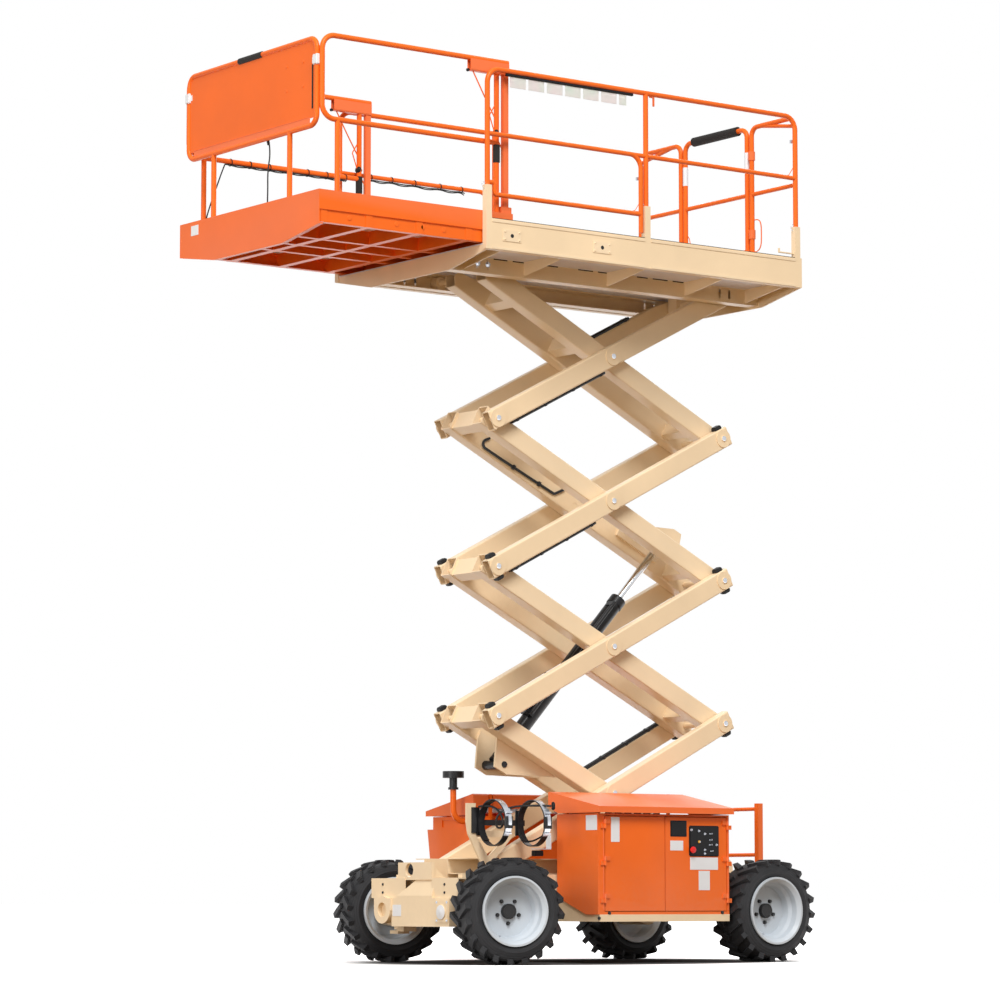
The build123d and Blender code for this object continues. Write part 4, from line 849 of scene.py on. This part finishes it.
rail_y = deck_side - 20
rail_z = 5625
finish_piece("tab_strip_bar", block((126, rail_y - 9, rail_z - 33), (1155, rail_y + 9, rail_z - 16), 3),
             black_plastic, "platform")
tabs = bmesh.new()
for i in range(7):
    x1 = 1122 - i * 147
    x0 = x1 - (126 if i < 6 else 60)
    block((x0, rail_y - 1.5, rail_z - 102), (x1, rail_y + 1.5, rail_z - 28), 1.2, tabs)
finish_piece("tab_strip", tabs, clear, "platform")
hook = block((-52, rail_y - 6, 5600), (-12, rail_y + 6, 5612), 2)
block((-52, rail_y - 6, 5545), (-40, rail_y + 6, 5604), 2, hook)
finish_piece("rail_hook", hook, orange, "platform")
for side, word in ((1, "left"), (-1, "right")):
    y = side * (rail_y - 2)
    wire("lock_wire_%s" % word, [(180, y, 4822), (120, y, 4838), (62, y, 4838), (48, y, 4912)], 5, orange,
         "platform", order=2)
    wire("rear_lock_wire_%s" % word, [(-1262, y, 5300), (-1210, y, 5226), (-1150, y, 5212)], 5, orange,
         "platform",
         order=2)
    latch = block((-1256, side * rail_y - 6, 4690), (-1110, side * rail_y + 6, 4700), 2)
    block((-1122, side * rail_y - 6, 4696), (-1110, side * rail_y + 6, 4722), 2, latch)
    finish_piece("post_latch_%s" % word, latch, beige, "platform")
    spring = block((-1252, side * rail_y - 24, 5446), (-1236, side * rail_y - 8, 5470), 2)
    finish_piece("rail_clip_%s" % word, spring, zinc, "platform")


# ---- Entry gate ----
# Swinging orange gate in the rear rail, with a black foam grip, white film sleeves round its
# posts and bent wire loops beside them.
gate_x = -1265
for side, word in ((1, "left"), (-1, "right")):
    y = side * 330
    sleeve = turned([(0.0172, 0), (0.0186, 0.001), (0.0186, 0.129), (0.0172, 0.13)], at(gate_x, y, 5330),
                    (0, 0, 1), 28)
    finish_piece("gate_sleeve_%s" % word, sleeve, label_white, "entry_gate", 30)
wire("gate_lock_wire", [(gate_x, -326, 4985), (gate_x, -300, 4975), (gate_x, -282, 4930),
                        (gate_x, -280, 4880)], 6,
     orange, "entry_gate")
wire("post_lock_wire", [(gate_x, 392, 4985), (gate_x, 430, 4992), (gate_x, 470, 4965), (gate_x, 474, 4880),
                        (gate_x, 470, 4795), (gate_x, 430, 4765), (gate_x, 393, 4768)], 8, orange, "platform")


# ---- Roll-out deck ----
# Orange deck that rolls forward out of the platform. Its front panel has a black grip, white
# clips and rivets; flat rear posts carry a header, thin struts, a knob and a grip each.
fasteners("front_panel_rivets", [(at(2538, y, z), (1, 0, 0)) for y in (407, 591) for z in (5389, 5541)],
          0.008,
          0.003, orange, "extension", sides=20)
grip = turned([(0.0175, 0), (0.0215, 0.002), (0.0215, 0.264), (0.0175, 0.266)], at(2532, -140, 5672),
              (0, 1, 0), 28)
finish_piece("front_panel_grip", grip, foam, "extension", 30)
# Painted shade: a thin black strip stands for the shaded gap between the front panel plate and the rail tube.
shade = block((2537.5, 689, 5232), (2540.5, 703, 5508), 1)
finish_piece("front_panel_gap_painted_shade", shade, black_plastic, "extension")
for side, word in ((1, "left"), (-1, "right")):
    y = side * 735
    clip = block((2511, y - 24, 5500), (2553, y + 24, 5566), 5)
    block((2512, y - 34 * side - 12, 5512), (2540, y - 34 * side + 12, 5554), 3, clip)
    finish_piece("front_panel_clip_%s" % word, clip, label_white, "extension", 30)
apron = block((2536.5, -668, 5138), (2539, 668, 5182), 0.8)
block((2536.5, -660, 5180), (2541, 660, 5184), 1, apron)
finish_piece("front_panel_apron", apron, orange, "extension")
finish_piece("toe_board_plate", block((2555.5, -665, 4626), (2557.2, -578, 4690), 0.5), label_white,
             "extension")

for side, word in ((1, "left"), (-1, "right")):
    y = side * 766
    post = block((1097, y - 14, 4606), (1143, y + 14, 5700), 4)
    block((1096, y - 20, 5606), (1400, y + 20, 5618), 3, post)
    block((1096, y - 20, 5612), (1400, y - 14, 5684), 2, post)
    block((1096, y + 14, 5612), (1400, y + 20, 5684), 2, post)
    block((1080, y - 22, 4596), (1165, y + 22, 4760), 3, post)
    finish_piece("rear_post_%s" % word, post, orange, "extension")
    struts = [wire("strut_%s_1" % word, [(1370, y, 5608), (1284, y, 5463), (1200, y, 5330)], 9, orange,
                   "extension",
                   order=2),
              wire("strut_%s_2" % word, [(1190, y, 5420), (1240, y, 5340), (1206, y, 5248),
                                         (1130, y, 5110)], 8,
                   orange, "extension", order=2)]
    knob = turned([(0.012, 0), (0.012, 0.012), (0.022, 0.016), (0.026, 0.026), (0.020, 0.036), (0, 0.038)],
                  at(1168, y, 5226), (1, 0, 0.2), 24)
    finish_piece("rear_post_knob_%s" % word, knob, black_plastic, "extension", 40)
    low = 5040 if side > 0 else 5070
    grip = turned([(0.0175, 0), (0.0225, 0.002), (0.0225, 0.113), (0.0175, 0.115)], at(1185, y, low),
                  (0, 0, 1), 24)
    finish_piece("rear_post_grip_%s" % word, grip, foam, "extension", 30)
    pin = turned([(0.007, 0), (0.010, 0.004), (0.010, 0.016), (0.006, 0.02), (0, 0.02)], at(1400, y, 5612),
                 (1, 0, -0.3),
                 16)
    finish_piece("header_pin_%s" % word, pin, black_plastic, "extension", 30)
bosses = [(at(x, side * 790, 4560), (0, side, 0)) for x in (2325, 1971, 1774, 1611) for side in (1, -1)]
fasteners("runner_bosses", bosses, 0.016, 0.004, orange, "extension", sides=28)


# ---- Control cables ----
# Black rubber-covered cables of the upper controls. One hangs from a gland under the front
# panel to the deck; two run clipped under the far low rail and drop to the deck at its front.
cable_black = enamel("cable_rubber", (0.012, 0.012, 0.013), rough=0.5, wear=0.0, peel_size=900)


def gland(name, x, y, z, way, body):
    shape = turned([(0.009, 0), (0.009, 0.012), (0.0065, 0.018), (0.0065, 0.026), (0.004, 0.03)],
                   at(x, y, z), way, 20)
    turned([(0, 0), (0.009, 0)], at(x, y, z), way, 20, shape)
    return finish_piece(name, shape, black_plastic, body, 30)


gland("panel_gland", 2520, 172, 5118, (0, 0.1, -1), "extension")
gland("deck_gland", 2505, 150, 4606, (0, 0, 1), "extension")


def free_cable(name, points, thick, body):
    """Loose hanging cable through drawing points, kept as a curve."""
    curve = bpy.data.curves.new(name, "CURVE")
    curve.dimensions = "3D"
    curve.bevel_depth = thick / 2000
    curve.bevel_resolution = 3
    curve.resolution_u = 12
    curve.use_fill_caps = True
    line = curve.splines.new("NURBS")
    line.points.add(len(points) - 1)
    for spot, point in zip(line.points, points):
        spot.co = (*at(*point), 1)
    line.order_u = 3
    line.use_endpoint_u = True
    curve.materials.append(cable_black)
    piece = bpy.data.objects.new(name, curve)
    bpy.context.collection.objects.link(piece)
    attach(piece, body)
    return piece


free_cable("panel_cable", [(2512, 169, 5120), (2512, 190, 5040), (2508, 152, 4930), (2505, 150, 4810),
                           (2505, 146, 4730), (2505, 150, 4610)], 9, "extension")
free_cable("rail_drop_cable", [(2243, -762, 5144), (2262, -756, 5110), (2300, -750, 5020), (2385, -748, 4800),
                               (2404, -748, 4700), (2404, -748, 4610)], 9, "extension")
tie_x = [2200 - i * 150 for i in range(7)]
for name, off in (("rail_cable_upper", 4), ("rail_cable_lower", -6)):
    run = [(2243, -762, 5146)]
    for i, x in enumerate(tie_x):
        run += [(x, -762 + off, 5146), (x - 75, -762 + off, 5143 + off)]
    wire(name, run[:-1], 8, cable_black, "extension")
ties = bmesh.new()
for x in tie_x:
    turned([(0.0235, 0), (0.0255, 0), (0.0255, 0.006), (0.0235, 0.006), (0.0235, 0)], at(x - 3, -764, 5162),
           (1, 0, 0), 24,
           ties)
finish_piece("cable_ties", ties, black_plastic, "extension", 40)
clip_x = [1050, 880, 690, 480, 300]
for name, off, sag in (("deck_cable_upper", 3, 6), ("deck_cable_lower", -6, 17)):
    run = [(1086, -825 + off, 5180 - sag)]
    for here, there in zip(clip_x, clip_x[1:] + [250]):
        run += [(here, -825 + off, 5189), ((here + there) / 2, -825 + off, 5188 - sag)]
    wire(name, run, 8, cable_black, "platform")
deck_ties = bmesh.new()
for x in clip_x:
    turned([(0.0215, 0), (0.0235, 0), (0.0235, 0.006), (0.0215, 0.006), (0.0215, 0)], at(x, -825, 5203),
           (1, 0, 0), 24,
           deck_ties)
finish_piece("deck_cable_ties", deck_ties, black_plastic, "platform", 40)
